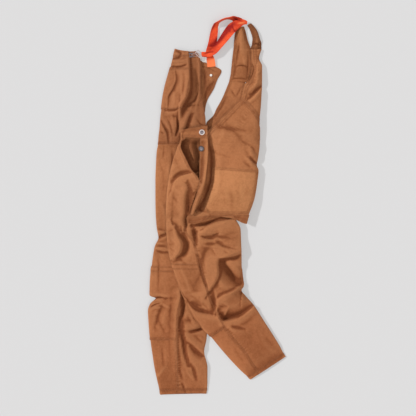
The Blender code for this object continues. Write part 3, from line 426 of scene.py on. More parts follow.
# Of the left leg
LEG_CREASES = (
    Fold(((-186, -120), (-160, -150)), 1.8, 12, 12),
    Fold(((-150, -206), (-120, -232)), -1.6, 10, 10),
    Fold(((-90, -176), (-60, -200)), 1.6, 10, 10),
    Fold(((10, -148), (60, -164), (92, -168)), 3.0, 9, 9),
    Fold(((20, -176), (52, -190)), -2.6, 9, 9),
    Fold(((-30, -112), (20, -100)), 2.0, 8, 8),
    Fold(((-62, -94), (-40, -84), (-30, -76)), 3.4, 6, 6),
    Fold(((-70, -150), (-30, -160), (10, -158)), 2.0, 12, 12),
    Fold(((-104, -352), (-84, -366)), -1.6, 8, 8),
    Fold(((-76, -346), (-62, -372)), -1.8, 8, 8),
    Fold(((-46, -350), (-38, -384)), -1.8, 8, 8),
    Fold(((-104, -384), (-70, -400), (-44, -404)), 2.6, 8, 8),
    Fold(((-88, -404), (-56, -418)), -1.8, 10, 10),
    Fold(((-60, -392), (-40, -412)), 2.4, 7, 7),
    Fold(((190, -520), (226, -560)), -1.2, 16, 14),
    Fold(((66, -560), (110, -630)), -1.0, 14, 14),
    Fold(((170, -500), (200, -560), (240, -590)), 0.7, 14, 14),
    Fold(((-150, -230), (-120, -300), (-100, -350)), 1.4, 16, 14),
)

# Of the back
BACK_CREASES = (
    Fold(((150, 600), (146, 560)), -2.4, 9, 9),
    Fold(((172, 540), (158, 520)), 2.2, 9, 9),
    Fold(((30, 330), (20, 280), (0, 240)), 1.6, 16, 16),
    Fold(((-40, 250), (0, 210), (60, 190)), -1.4, 16, 16),
    Fold(((60, 300), (120, 280)), 1.2, 16, 16),
    Fold(((92, 96), (100, 10)), 0.8, 14, 14),
    Fold(((120, 84), (112, 30)), -0.7, 14, 14),
    Fold(((20, 70), (34, 6)), -0.7, 14, 14),
    Fold(((-60, 120), (-70, 40)), -1.6, 10, 14),
    Fold(((60, -40), (110, -50)), -2.0, 10, 10),
)

# Of the straps and of the far sides of the bib and the armhole
STRAP_CREASES = (
    Fold(((90, 648), (83, 612), (76, 572)), -6, 9, 5),
    Fold(((74, 566), (72, 544), (62, 506)), -4, 8, 5),
    Fold(((106, 708), (114, 668), (124, 632)), -5, 6, 6),
    Fold(((98, 690), (96, 650), (102, 610)), 4, 14, 14),
    Fold(((122, 616), (124, 570), (118, 512)), -4, 6, 6),
    Fold(((76, 552), (88, 561), (108, 560), (124, 550)), -5, 5, 7),
    Fold(((60, 508), (92, 509), (116, 506)), -5, 6, 5),
    Fold(((104, 590), (112, 560)), 3, 9, 9),
    Fold(((150, 706), (164, 668), (156, 640)), 4, 9, 12),
    Fold(((134, 640), (156, 648), (174, 640)), -5, 8, 9),
    Fold(((56, 466), (74, 434)), -3, 5, 6),
    Fold(((76, 436), (96, 474)), -3, 5, 6),
    Fold(((40, 436), (16, 392), (-10, 352)), -3, 6, 6),
    Fold(((-48, 546), (-46, 470)), -3, 8, 8),
    Fold(((-14, 496), (-38, 464), (-48, 436)), -7, 14, 9),
    Fold(((-70, 560), (-36, 552), (2, 532)), -2, 5, 5),
    Fold(((-30, 520), (-20, 496)), 2, 9, 9),
)

# Of the webbing; their ridges also get a painted highlight and their troughs painted shade
WEBBING_CREASES = (
    Fold(((-34, 630), (-10, 646), (18, 676), (44, 704), (66, 724)), -6, 18, 18),
    Fold(((30, 730), (44, 704), (54, 690)), -2.6, 9, 7),
    Fold(((62, 692), (84, 700), (110, 718)), -3.0, 9, 6),
    Fold(((60, 728), (64, 706), (74, 690)), -2.2, 5, 5),
    Fold(((-52, 604), (-34, 611), (-12, 614)), -3.2, 5, 5),
    Fold(((-4, 744), (-14, 716), (-24, 696)), -2.6, 9, 7),
    Fold(((98, 736), (80, 742), (64, 750)), -3.4, 8, 8),
    Fold(((-48, 626), (-30, 632), (-12, 634)), 1.8, 6, 6),
    Fold(((84, 726), (96, 728), (110, 730)), 2.2, 6, 6),
)

# Stitches that follow no panel edge, in plan
BIB_WORK = (
    ((-122, 571), (-90, 571)),
    ((-90, 571), (-87, 577), (-88, 584)),
    ((-120, 566), (-92, 566)),
    ((-82, 588), (-80, 560), (-104, 550)),
    ((-168, 571), (-124, 571)),
)
FLY_WORK = (
    ((-62, 262), (-66, 190), (-68, 104), (-76, 70), (-92, 42)),
    ((-52, 262), (-55, 180), (-58, 110), (-66, 60), (-86, 20)),
    ((-74, 106), (-62, 104)),
    ((-142, 262), (-132, 264)),
)


class Strip(NamedTuple):
    """One row of a strap or facing: its two edges, and how far its middle stands above them."""

    left_x: float
    left_y: float
    right_x: float
    right_y: float
    left_z: float
    right_z: float
    arch: float


BIB_FAR_HALF = (
    Strip(-88, 588, -66, 580, 0, 0, 0),
    Strip(-86.5, 566, 18, 540, 0, 0, 3),
    Strip(-89, 530, 2, 506, 0, 0, 5),
    Strip(-90, 490, -12, 470, 0, 0, 5),
    Strip(-87, 440, -38, 424, 0, 0, 4),
    Strip(-80, 400, -46, 396, 0, 0, 2),
    Strip(-72, 376, -48, 374, 0, 0, 0),
)

SIDE_FAR_HALF = (
    Strip(52, 505, 112, 500, 0, 3, 6),
    Strip(43, 482, 112, 474, 0, 8.8, 4),
    Strip(20, 428, 98, 416, 0, 9.2, 4),
    Strip(-2, 388, 70, 376, 0, 9.2, 4),
    Strip(-14, 362, 44, 348, 0, 9.2, 3),
    Strip(-42, 332, 18, 318, 0, 9.2, 2),
    Strip(-46, 310, 4, 296, 0, 8, 2),
    Strip(-48, 296, -14, 280, 0, 6, 2),
)

NEAR_STRAP = (
    Strip(84, 712, 106, 716, 3, 3, 12),
    Strip(74, 690, 114, 692, 3, 3, 13),
    Strip(70, 662, 122, 660, 3, 3, 12),
    Strip(67, 630, 133, 628, 3, 3, 12),
    Strip(63, 598, 139, 598, 3, 3, 12),
    Strip(59, 560, 142, 560, 3, 3, 12),
    Strip(55, 524, 137, 524, 2, 2, 11),
    Strip(49, 498, 134, 492, 0, 0, 11),
)

FAR_STRAP = (
    Strip(122, 722, 135, 728, 6, 6, 5),
    Strip(130, 710, 148, 714, 5, 5, 7),
    Strip(138, 692, 161, 694, 3, 3, 10),
    Strip(144, 668, 169, 668, 1, 1, 12),
    Strip(141, 648, 176, 648, 0, 0, 11),
    Strip(134, 624.7, 176, 626.4, 1, 0, 8),
)


class Station(NamedTuple):
    """One place along a flat ribbon: its middle, its width, and its roll about its own run."""

    x: float
    y: float
    z: float
    width: float
    roll: float  # degrees, 0 lies flat


WEBBING_LOOP = (
    Station(-62, 607, 17.7, 13, 0),
    Station(-42, 606, 17.3, 16, 0),
    Station(-30, 622, 14, 26, 4),
    Station(-18, 652, 9, 33, 6),
    Station(-12, 690, 8, 30, 8),
    Station(-6, 716, 12, 26, 40),
    Station(10, 735, 17, 31, 84),
    Station(40, 747, 17, 31, 88),
    Station(62, 748, 16, 31, 70),
    Station(78, 741, 12, 30, 36),
    Station(96, 735, 7, 28, 12),
)

WEBBING_CROSS = (
    Station(-60, 605, 19.9, 12, 0),
    Station(-38, 601, 20.3, 16, 0),
    Station(-14, 614, 21, 24, -10),
    Station(10, 644, 19, 32, -16),
    Station(34, 676, 21, 38, -12),
    Station(58, 706, 25, 40, -4),
    Station(80, 722, 24, 34, 4),
    Station(104, 732, 19.5, 22, 8),
    Station(120, 730, 15.5, 12, 4),
)

WEBBING_END = (
    Station(-60, 601, 12.5, 12, 0),
    Station(-42, 601, 12.3, 16, 0),
    Station(-29, 594, 11, 28, 0),
    Station(-24, 574, 6.2, 33, 0),
    Station(-22, 556, 6.0, 33, 0),
)


class Edge(Enum):
    """The four edges of a panel."""

    TOP = "top"
    BOTTOM = "bottom"
    FRONT = "front"
    BACK = "back"


class Hold(Enum):
    """How a piece of cloth is held."""

    LAID = "laid"
    FOLDED = "folded"


class Doubled(NamedTuple):
    """Cloth turned under along an edge, and how far in from the edge its stitches run."""

    width: float
    stitches: tuple[float, ...]
    roped: bool = False  # twisted, as a hem that shrank is


FELLED = Doubled(9.0, (1.2, 8.2))
FACED = Doubled(24.0, (3.0, 12.5, 22.0))
TURNED = Doubled(6.0, (2.4,))
TWIN = Doubled(9.0, (2.4, 8.4))
HEM = Doubled(20.0, (18.0, 13.0), roped=True)
LAPPED = Doubled(22.0, (2.6, 20.0))
BIB_TOP = Doubled(24.0, (22.0,))
POCKET_TOP = Doubled(14.0, (12.0, 9.0))
PLAIN = Doubled(0.0, ())


def edged(**kinds: Doubled) -> dict[Edge, Doubled]:
    """How a panel's edges are sewn, in the order in which that is done."""
    return {Edge(name): kind for name, kind in kinds.items()}


def row_slopes(values: np.ndarray) -> np.ndarray:
    """Slopes of a curve through a table's rows that never swings past them.

    Args:
        values: One row for each station of the curve.

    Returns:
        The slope at each row, in the values' units for each step of the table.
    """
    rate = np.diff(values, axis=0)
    slope = np.zeros_like(values)
    same_way = rate[:-1] * rate[1:] > 0
    before, after = (np.where(same_way, side, 1.0) for side in (rate[:-1], rate[1:]))
    slope[1:-1] = np.where(same_way, 2.0 / (1.0 / before + 1.0 / after), 0.0)
    slope[0], slope[-1] = rate[0], rate[-1]
    return slope


def smooth_rows(values: np.ndarray, steps: list[int]) -> np.ndarray:
    """Fills in a table's rows on a smooth curve.

    Args:
        values: The table.
        steps: How many rows to make from each row of the table to the next.

    Returns:
        The filled table.
    """
    slope = row_slopes(values)
    rows = []
    for k, count in enumerate(steps):
        for t in np.arange(count) / count:
            rows.append(
                values[k] * (1 + 2 * t) * (1 - t) ** 2
                + values[k + 1] * (3 - 2 * t) * t * t
                + slope[k] * t * (1 - t) ** 2
                - slope[k + 1] * t * t * (1 - t)
            )
    return np.array([*rows, values[-1]])


def smooth_line(points: tuple, per_span: int = 6) -> np.ndarray:
    """A smooth line through a few points."""
    return smooth_rows(np.array(points, float), [per_span] * (len(points) - 1))


def spans_of(points: np.ndarray) -> np.ndarray:
    """Lengths from each point to the next."""
    return np.linalg.norm(np.diff(points, axis=0), axis=-1)


def totals(steps: np.ndarray | list[int]) -> np.ndarray:
    """Running totals of steps, from nought."""
    return np.concatenate([[0], np.cumsum(steps)])


def unit(vectors: np.ndarray) -> np.ndarray:
    """The same directions at length one."""
    return vectors / np.maximum(np.linalg.norm(vectors, axis=-1, keepdims=True), TINY)


def fold_lift(x: np.ndarray, y: np.ndarray, folds: tuple[Fold, ...]) -> np.ndarray:
    """How far folds raise the cloth.

    Args:
        x: Places across, of any shape.
        y: Places along, of the same shape.
        folds: The ridges and troughs.

    Returns:
        The rise at each place, in millimetres.
    """
    lift = np.zeros_like(x)
    for fold in folds:
        line = smooth_line(fold.path)
        start, run = line[:-1], np.diff(line, axis=0)
        short, long = sorted((fold.left_hand, fold.right_hand))
        low, high = line.min(0) - long, line.max(0) + long
        near = (x > low[0]) & (x < high[0]) & (y > low[1]) & (y < high[1])
        away = np.stack([x[near], y[near]], -1)[:, None, :] - start
        along = np.clip((away * run).sum(-1) / (run * run).sum(-1), 0, 1)
        distance = np.linalg.norm(away - along[..., None] * run, axis=-1)
        pick = np.arange(len(distance)), distance.argmin(-1)
        side = run[pick[1], 0] * away[pick][:, 1] - run[pick[1], 1] * away[pick][:, 0]
        reach = np.where(side > 0, fold.left_hand, fold.right_hand)
        taper = np.sin(np.pi * np.clip((pick[1] + along[pick]) / len(run), *FOLD_ENDS)) ** FOLD_TAPER
        far = (np.hypot(np.clip(distance[pick] / reach, 0, 1), CREST) - CREST) / (np.hypot(1, CREST) - CREST)
        lift[near] += fold.rise * taper * np.clip(1 - far, 0, 1) ** (1 + HOLLOW * short / reach)
    return lift


def lattice_noise(u: np.ndarray, v: np.ndarray, seed: int, size: int = 64) -> np.ndarray:
    """Smooth random values from -1 to 1.

    Args:
        u: Places in lattice cells.
        v: Places in lattice cells, of the same shape.
        seed: Which lattice to use.
        size: Cells after which the lattice repeats.

    Returns:
        The value at each place.
    """
    lattice = np.random.default_rng(seed).uniform(-1, 1, (size, size))
    cell_u, cell_v = np.floor(u).astype(int), np.floor(v).astype(int)
    s, t = u - cell_u, v - cell_v
    s, t = s * s * (3 - 2 * s), t * t * (3 - 2 * t)
    corner = [[lattice[(cell_u + a) % size, (cell_v + b) % size] for b in (0, 1)] for a in (0, 1)]
    return ((corner[0][0] * (1 - s) + corner[1][0] * s) * (1 - t)
            + (corner[0][1] * (1 - s) + corner[1][1] * s) * t)


class Wave(NamedTuple):
    """Random waves of a length over and along the cloth, and of a height."""

    over: float
    along: float
    rise: float = 1.0

    def at(self, u: np.ndarray, v: np.ndarray, seed: int) -> np.ndarray:
        """Heights of the waves at places over and along the cloth."""
        return self.rise * lattice_noise(u / self.over, v / self.along, seed)


DRIFT = Wave(70, 90, 16)  # bends the lines of the creases
SLOW = Wave(54, 88, 0.8)
SLANT = Wave(27, 66)  # creases lie where these two cross nought
STEEP = Wave(23, 58)
FINE = Wave(7, 9, 0.10)
PUCKER_DRIFT = Wave(34, 1, 0.9)
PUCKER_STRENGTH = Wave(41, 1, 0.6)
PUCKER_PITCH = 10.5
PUCKER_SLANT = 46.0  # distance from the seam over which gathers slip by one
PUCKER_REACH = 10.0
PUCKER_RISE = 0.85
PATCHY = Wave(9, 40, 0.35)  # how unevenly the painted shade along the stitch lines lies
ROPE_DRIFT = Wave(40, 60, 2.0)


def rumple(u: np.ndarray, v: np.ndarray, seed: int) -> np.ndarray:
    """The uneven lie of washed duck.

    Args:
        u: Places over the cloth, in millimetres.
        v: Places along it.
        seed: Which run of waves to use.

    Returns:
        The rise at each place, in millimetres.
    """
    drift = DRIFT.at(u, v, seed)
    slant = SLANT.at(u + 0.55 * v + drift, v - 0.4 * u + drift, seed + 2)
    steep = STEEP.at(u - 0.7 * v - drift, v + 0.5 * u, seed + 3)
    crisp = (1 - np.abs(slant)) ** 4 + 0.8 * (1 - np.abs(steep)) ** 5
    return SLOW.at(u, v, seed + 1) + 0.2 * crisp + FINE.at(u, v, seed + 4)


def pucker(along: np.ndarray, away: np.ndarray, seed: int) -> np.ndarray:
    """The uneven gathers beside a seam that shrank.

    Args:
        along: Places along the seam, in millimetres.
        away: Distances from the seam, in millimetres.
        seed: Which run of gathers to use.

    Returns:
        The rise at each place, in millimetres.
    """
    still = np.zeros_like(along)
    phase = along / PUCKER_PITCH + PUCKER_DRIFT.at(along, still, seed) + away / PUCKER_SLANT
    strength = np.clip(0.55 + PUCKER_STRENGTH.at(along, still + 9, seed + 1), 0, 1.2)
    return PUCKER_RISE * np.sin(2 * np.pi * phase) * strength * np.exp(-((away / PUCKER_REACH) ** 2))


def blurred(values: np.ndarray, reach: int) -> np.ndarray:
    """Averages a net of values over some rows and columns each way.

    Args:
        values: Rows by columns, and any further axes.
        reach: How many rows and columns to each side are averaged.

    Returns:
        The averaged net, of the same shape.
    """
    for axis in (0, 1):
        places = np.arange(values.shape[axis])
        margins = [(reach + 1, reach) if k == axis else (0, 0) for k in range(values.ndim)]
        total = np.cumsum(np.pad(values, margins, "edge"), axis=axis)
        high = np.take(total, places + 2 * reach + 1, axis=axis)
        values = (high - np.take(total, places, axis=axis)) / (2 * reach + 1)
    return values


def halved(net: np.ndarray) -> np.ndarray:
    """The net with another row of points half-way between each two."""
    fine = np.empty((2 * len(net) - 1, *net.shape[1:]))
    fine[::2], fine[1::2] = net, (net[1:] + net[:-1]) / 2
    return fine


class Rest:
    """A height map of the parts that a part of the garment lies on."""

    NEARBY = ((0, 0), (1, 0), (-1, 0), (0, 1), (0, -1))

    def __init__(self, below: "list[Mound]", reach: float = REST_REACH) -> None:
        """Draws the map.

        Args:
            below: The parts that lie below.
            reach: How far round a point the cloth feels what it lies on.
        """
        self.reach = reach
        self.map = np.zeros(REST_SHAPE)
        for mound in below:
            net = halved(halved(mound.net).transpose(1, 0, 2))
            np.maximum.at(self.map, self.cells(net[..., 0], net[..., 1]), net[..., 2] + LEG_CLEAR)
        self.map = np.maximum(self.map, blurred(self.map, 1))

    def cells(self, x: np.ndarray, y: np.ndarray) -> tuple[np.ndarray, ...]:
        """Map cells at places in millimetres."""
        places = ((x, REST_CORNER[0], REST_SHAPE[0]), (y, REST_CORNER[1], REST_SHAPE[1]))
        return tuple(np.clip(((at - low) / REST_CELL).astype(int), 0, size - 1) for at, low, size in places)

    def height(self, x: np.ndarray, y: np.ndarray) -> np.ndarray:
        """How low the cloth may come at each place, in millimetres."""
        return np.max([self.between(x + u * self.reach, y + v * self.reach) for u, v in self.NEARBY], axis=0)

    def between(self, x: np.ndarray, y: np.ndarray) -> np.ndarray:
        """The map's height between its cells.

        Args:
            x: Places across, in millimetres.
            y: Places along, of the same shape.

        Returns:
            The height at each place.
        """
        u, v = (x - REST_CORNER[0]) / REST_CELL % 1, (y - REST_CORNER[1]) / REST_CELL % 1
        near = [[self.map[self.cells(x + a * REST_CELL, y + b * REST_CELL)] for b in (0, 1)] for a in (0, 1)]
        return (near[0][0] * (1 - v) + near[0][1] * v) * (1 - u) + (near[1][0] * (1 - v) + near[1][1] * v) * u


def across(width: float, base: np.ndarray, tops: list[float], crown: float, peak: float,
           loose: tuple[bool, bool]) -> tuple[np.ndarray, np.ndarray, int]:
    """The outline of the cloth over one line across a part.

    Args:
        width: From the front edge to the back edge.
        base: Height of what each edge lies on.
        tops: Height of the widest point of each edge.
        crown: Height of the highest point.
        peak: Share of the width at which that point lies.
        loose: Whether each edge is loose rather than folded.

    Returns:
        Places across, heights, and how many points the front edge's roll has.
    """
    share = 0.5 - 0.5 * np.cos(np.linspace(0, math.pi, ARCH_POINTS))
    offset = (share - peak) / np.where(share < peak, peak, 1 - peak)
    power = np.where(share < peak, ROUND_POWER[loose[0]], ROUND_POWER[loose[1]])
    floor = tops[0] + (tops[1] - tops[0]) * share
    level = floor + np.maximum(crown - floor, 0) * (1 - np.abs(offset) ** ARCH_POWER) ** power
    place = share * width
    turn = np.linspace(-0.5 * math.pi, 0, ROLL_POINTS + 1)[:-1]
    roll = TUCK * (1 - np.cos(turn))
    if not loose[0]:
        place = np.concatenate([roll, place])
        level = np.concatenate([base[0] + (tops[0] - base[0]) * (1 + np.sin(turn)), level])
    if not loose[1]:
        place = np.concatenate([place, width - roll[::-1]])
        level = np.concatenate([level, base[1] + (tops[1] - base[1]) * (1 + np.sin(turn[::-1]))])
    return place, level, 0 if loose[0] else ROLL_POINTS


@dataclass
class Spread:
    """A net of cloth points with normals, cloth coordinates and two colour channels, paleness with a painted highlight
    and painted shade, ready to be sewn.
    """

    points: np.ndarray
    normal: np.ndarray
    cloth: np.ndarray
    # paleness, partly from rubbing and partly a painted highlight, then painted shade
    wear_and_painted_light: np.ndarray

    def channels(self) -> np.ndarray:
        """All values of each point side by side."""
        return np.concatenate([self.points, self.normal, self.cloth, self.wear_and_painted_light], axis=-1)

    @staticmethod
    def from_channels(values: np.ndarray) -> "Spread":
        """Takes the values of channels() apart again."""
        return Spread(values[..., 0:3], values[..., 3:6], values[..., 6:8], values[..., 8:10])

    def rimmed(self) -> "Spread":
        """Puts two more lines of points just inside each edge.

        Returns:
            The finer net.
        """
        values = self.channels()
        for _ in range(2):
            for _ in range(2):
                first, second = values[0], values[1]
                reach = np.linalg.norm(second[:, :3] - first[:, :3], axis=-1).mean()
                shares = min(0.6 / reach, 0.3), min(1.8 / reach, 0.5)
                extra = [first + (second - first) * share for share in shares]
                values = np.stack([first, *extra, *values[1:]])[::-1]
            values = values.transpose(1, 0, 2)
        return Spread.from_channels(values)

    def far_from(self, edge: Edge) -> np.ndarray:
        """Distance of each point from an edge along the cloth, in millimetres."""
        lines = {Edge.TOP: np.s_[:1, :, 1], Edge.BOTTOM: np.s_[-1:, :, 1],
                 Edge.FRONT: np.s_[:, :1, 0], Edge.BACK: np.s_[:, -1:, 0]}
        return np.abs(self.cloth[..., lines[edge][-1]] - self.cloth[lines[edge]])

    def doubled(self, edges: dict[Edge, Doubled]) -> "Spread":
        """Raises the doubled cloth along edges, rounds the edges, rubs them pale and paints shade along the stitch
        lines.

        Args:
            edges: How each edge is sewn.

        Returns:
            This net, changed.
        """
        rise = np.zeros(self.points.shape[:2])
        for edge, kind in edges.items():
            far = self.far_from(edge)
            if kind.width:
                rise = np.maximum(rise, SEAM_RISE * np.clip(1 - (far - kind.width + 1) / SEAM_RAMP, 0, 1))
                rubbed = EDGE_PALE * np.exp(-((far / EDGE_RUB) ** 2))
                self.wear_and_painted_light[..., 0] = np.maximum(self.wear_and_painted_light[..., 0], rubbed)
            for stitches in kind.stitches:
                patchy = 0.75 + PATCHY.at(self.cloth.sum(-1), far, 4)
                groove = np.exp(-(((far - stitches) / GROOVE_WIDTH) ** 2))
                # painted shade along the stitch groove
                self.wear_and_painted_light[..., 1] = np.maximum(self.wear_and_painted_light[..., 1], patchy * groove)
                rise = rise - GROOVE_DEPTH * groove
            rise = rise - EDGE_DROP * np.clip(1 - far / EDGE_ROUND, 0, 1) ** 2
            if kind.roped:
                run = self.cloth[..., 0] + 0.7 * far
                twist = np.sin(run / ROPE_PITCH + ROPE_DRIFT.at(run, far, 3))
                rise = rise + ROPE_RISE * twist * np.exp(-(((far - ROPE_MIDDLE) / ROPE_REACH) ** 2))
        self.points = self.points + self.normal * rise[..., None]
        self.points[..., 2] = np.maximum(self.points[..., 2], SEWN_GAP)
        return self

    def rounded(self, radius: float) -> "Spread":
        """Rounds off the corner where the front edge meets the bottom edge.

        Args:
            radius: Of the corner, in millimetres.

        Returns:
            This net, changed.
        """
        room_x = np.clip(radius - self.far_from(Edge.FRONT), 0, None)
        room_y = np.clip(radius - self.far_from(Edge.BOTTOM), 0, None)
        span = np.maximum(np.hypot(room_x, room_y), TINY)
        pull = (1 - np.maximum(room_x, room_y) / span) * (room_x > 0) * (room_y > 0)
        over, down = (unit(np.gradient(self.points, axis=axis)) for axis in (1, 0))
        self.points = self.points + over * (room_x * pull)[..., None] - down * (room_y * pull)[..., None]
        return self

    def line(self, edge: Edge, far: float) -> tuple[np.ndarray, np.ndarray]:
        """A line that runs along an edge.

        Args:
            edge: The edge.
            far: How far in from it the line runs, in millimetres.

        Returns:
            The line's points and normals.
        """
        values = self.channels()
        away = self.far_from(edge)
        if edge in (Edge.TOP, Edge.BOTTOM):
            values, away = values.transpose(1, 0, 2), away.T
        if edge in (Edge.BOTTOM, Edge.BACK):
            values, away = values[:, ::-1], away[:, ::-1]
        line = np.array([
            [np.interp(far, place, row[:, k]) for k in range(6)] for place, row in zip(away, values)
        ])
        return line[:, :3], line[:, 3:]


@dataclass
class Mound:
    """A part's cloth surface: a net of points, rows along the part and columns across it."""

    sections: tuple[Section, ...]
    columns: tuple[int, ...]
    folds: tuple[Fold, ...]
    creases: tuple[Fold, ...]
    seed: int
    rest: Rest | None = None
    peak: float = 0.5
    loose_front: str = ""  # mark of the row at which the front edge stops being loose
    loose_back: str = ""
    back_curl: float = 0.0  # height of the back edge's widest point, where it isn't the usual one
    pulls: tuple[Pull, ...] = ()

    def __post_init__(self) -> None:
        """Builds the net from the sections, then its folds and creases."""
        table = np.array([(*row[:7], row.fly_x) for row in self.sections], float)
        steps = [max(2, round(span / ROW_STEP)) for span in spans_of((table[:, :2] + table[:, 2:4]) / 2)]
        rows, starts = smooth_rows(table, steps), totals(steps)
        self.row = {row.mark: int(starts[k]) for k, row in enumerate(self.sections) if row.mark}
        self.seam = self.columns[0] * FINER
        self.last = sum(self.columns) * FINER
        ends = [self.row.get(mark, -1) for mark in (self.loose_front, self.loose_back)]
        self.loose = np.array([[i <= end for end in ends] for i in range(len(rows))])
        self.net = np.array([
            self.section(row, tuple(loose), base) for row, loose, base in zip(rows, self.loose, self.feet(rows))
        ])
        for pull in self.pulls:
            away = (self.net[..., :2] - (pull.x, pull.y)) / (pull.reach_x, pull.reach_y)
            self.net[..., :2] += np.exp(-(away ** 2).sum(-1))[..., None] * (pull.over, pull.along)
        self.relief()
        self.measure()

    def feet(self, rows: np.ndarray) -> np.ndarray:
        """Works out what the edges of each row lie on.

        Args:
            rows: The filled table of sections.

        Returns:
            The heights below the front and the back edge of each row.
        """
        if not self.rest:
            return np.zeros((len(rows), 2))
        inward = unit(rows[:, 2:4] - rows[:, 0:2]) * TUCK
        feet = [
            np.max([self.rest.height(*(at + way * far).T) for far in (0, 1)], axis=0)
            for at, way in ((rows[:, 0:2], inward), (rows[:, 2:4], -inward))
        ]
        return blurred(np.array(feet).T, FOOT_BLUR)

    def section(self, row: np.ndarray, loose: tuple[bool, bool], base: np.ndarray) -> np.ndarray:
        """Spaces one row's points along the cloth on each side of the seam.

        Args:
            row: The ends, seam, crown, bow and fly of the section.
            loose: Whether its front and back edge are loose.
            base: The heights that they lie on.

        Returns:
            The row's points.
        """
        front, back, crown, bow = row[0:2], row[2:4], row[5], row[6]
        width = np.linalg.norm(back - front)
        room = crown - max(base)
        rise = [FREE_EDGE if edge else min(CURL, CURL_SHARE * room) for edge in loose]
        rise[1] = self.back_curl or rise[1]
        tops = [base[side] + min(rise[side], CROWD * room) for side in (0, 1)]
        place, level, lead = across(width, base, tops, crown, self.peak, loose)
        length = totals(np.hypot(np.diff(place), np.diff(level)) + STEEP_WEIGHT * np.abs(np.diff(level)))
        top = slice(lead, lead + ARCH_POINTS)
        lines = [(x - front[0]) / (back[0] - front[0]) * width for x in (row[4], row[7])[: len(self.columns) - 1]]
        stops = [0.0, *np.interp(lines, place[top], length[top]), length[-1]]
        wanted = [0.0]
        for start, end, count in zip(stops, stops[1:], self.columns):
            wanted += list(np.linspace(start, end, count * FINER + 1)[1:])
        share = np.interp(wanted, length, place) / width
        points = front + share[:, None] * (back - front)
        points[:, 1] += bow * (1 - (2 * np.clip(share, 0, 1) - 1) ** 2)
        return np.column_stack([points, np.interp(wanted, length, level)])

    def relief(self) -> None:
        """Raises and sinks the net by its folds, creases and rumples."""
        x, y, z = self.net[..., 0], self.net[..., 1], self.net[..., 2]
        fade = np.ones_like(z)
        for side, half in enumerate((slice(0, self.seam), slice(self.seam, None))):
            foot = z[:, (0, -1)[side], None].copy()
            steep = np.clip((z[:, half] - foot) / (FOOT_FADE * CURL), 0, 1)
            fade[:, half] = np.where(self.loose[:, side: side + 1], 1.0, steep)
        self.measure()
        lift = fold_lift(x, y, self.folds) + fold_lift(x, y, self.creases)
        lift += rumple(self.across_mm, self.along_mm, self.seed)
        lift += pucker(self.along_mm, np.abs(self.across_mm), self.seed + 20)
        z[...] = np.maximum(z + lift * fade, np.minimum(z, LOWEST))
        if self.rest:
            under = blurred(self.rest.height(x, y), REST_BLUR)
            room = np.full_like(z, LAYER)
            room[:, (0, -1)] = np.where(self.loose, LAYER, 0)
            z[...] = np.maximum(z, under + room * (under > 1))
        inner = slice(1, -1)
        z[inner, inner] = (0.5 * z + 0.5 * blurred(z, 1))[inner, inner]
        z[...] = np.minimum(z, HIGH) + FLATTENED * np.clip(z - HIGH, 0, None)

    def measure(self) -> None:
        """Works out outward normals and the cloth's own coordinates, across and along."""
        down, over = np.gradient(self.net, axis=0), np.gradient(self.net, axis=1)
        self.normal = unit(np.cross(over, -down))
        gaps = np.linalg.norm(np.diff(self.net, axis=1), axis=-1)
        across_mm = np.pad(np.cumsum(gaps, axis=1), ((0, 0), (1, 0)))
        self.across_mm = across_mm - across_mm[:, self.seam: self.seam + 1]
        spine = totals(spans_of(self.net[:, self.seam]))
        self.along_mm = np.repeat(spine[:, None], self.net.shape[1], axis=1)

    def moved(self, out: float) -> np.ndarray:
        """The net moved out along its normals, never below the surface the garment lies on."""
        net = self.net + self.normal * out
        net[..., 2] = np.maximum(net[..., 2], NET_GAP)
        return net

    def wear_and_painted_light(self) -> np.ndarray:
        """Works out where the cloth is rubbed pale, with a painted highlight, and where it gets painted shade.

        Returns:
            How much each point stands proud, from -1 in a crease to 1 on a ridge, raised along a band near each edge.
        """
        bulge = 0.0
        for reach, weight in RIDGE_AND_CREASE_BLURS:
            bulge = bulge + weight * ((self.net - blurred(self.net, reach)) * self.normal).sum(-1)
        edge = np.minimum(self.across_mm - self.across_mm[:, :1], self.across_mm[:, -1:] - self.across_mm)
        return np.clip(bulge + RUB_AND_HIGHLIGHT_WEIGHT * np.exp(-(((edge - RUB_AND_HIGHLIGHT_AT) / RUB_AND_HIGHLIGHT_WIDTH) ** 2)), -1, 1)

    def spread(self, rows: tuple[int, int], cols: tuple[int, int], out: float = 0.0) -> Spread:
        """Takes a panel's share of the net.

        Args:
            rows: Its first and last row.
            cols: Its first and last column.
            out: How far it stands out from the net.

        Returns:
            A copy of that share.
        """
        area = slice(rows[0], rows[1] + 1), slice(cols[0], cols[1] + 1)
        bulge = self.wear_and_painted_light()[area]
        return Spread(
            self.moved(out)[area].copy(),
            self.normal[area].copy(),
            np.stack([self.across_mm[area], self.along_mm[area]], -1),
            # pale on ridges, partly rubbed and partly a painted highlight; painted shade in creases
            np.stack([np.clip(bulge, 0, 1), np.clip(-bulge, 0, 1)], -1),
        )

    def tree(self) -> BVHTree:
        """Makes a search tree of the cloth's face, a thread's height out.

        Returns:
            The tree.
        """
        rows, cols = self.net.shape[:2]
        index = np.arange(rows * cols).reshape(rows, cols)
        quads = np.stack([index[:-1, :-1], index[1:, :-1], index[1:, 1:], index[:-1, 1:]], -1)
        points = [Vector(p) for p in self.moved(THREAD_OUT).reshape(-1, 3)]
        return BVHTree.FromPolygons(points, quads.reshape(-1, 4).tolist())


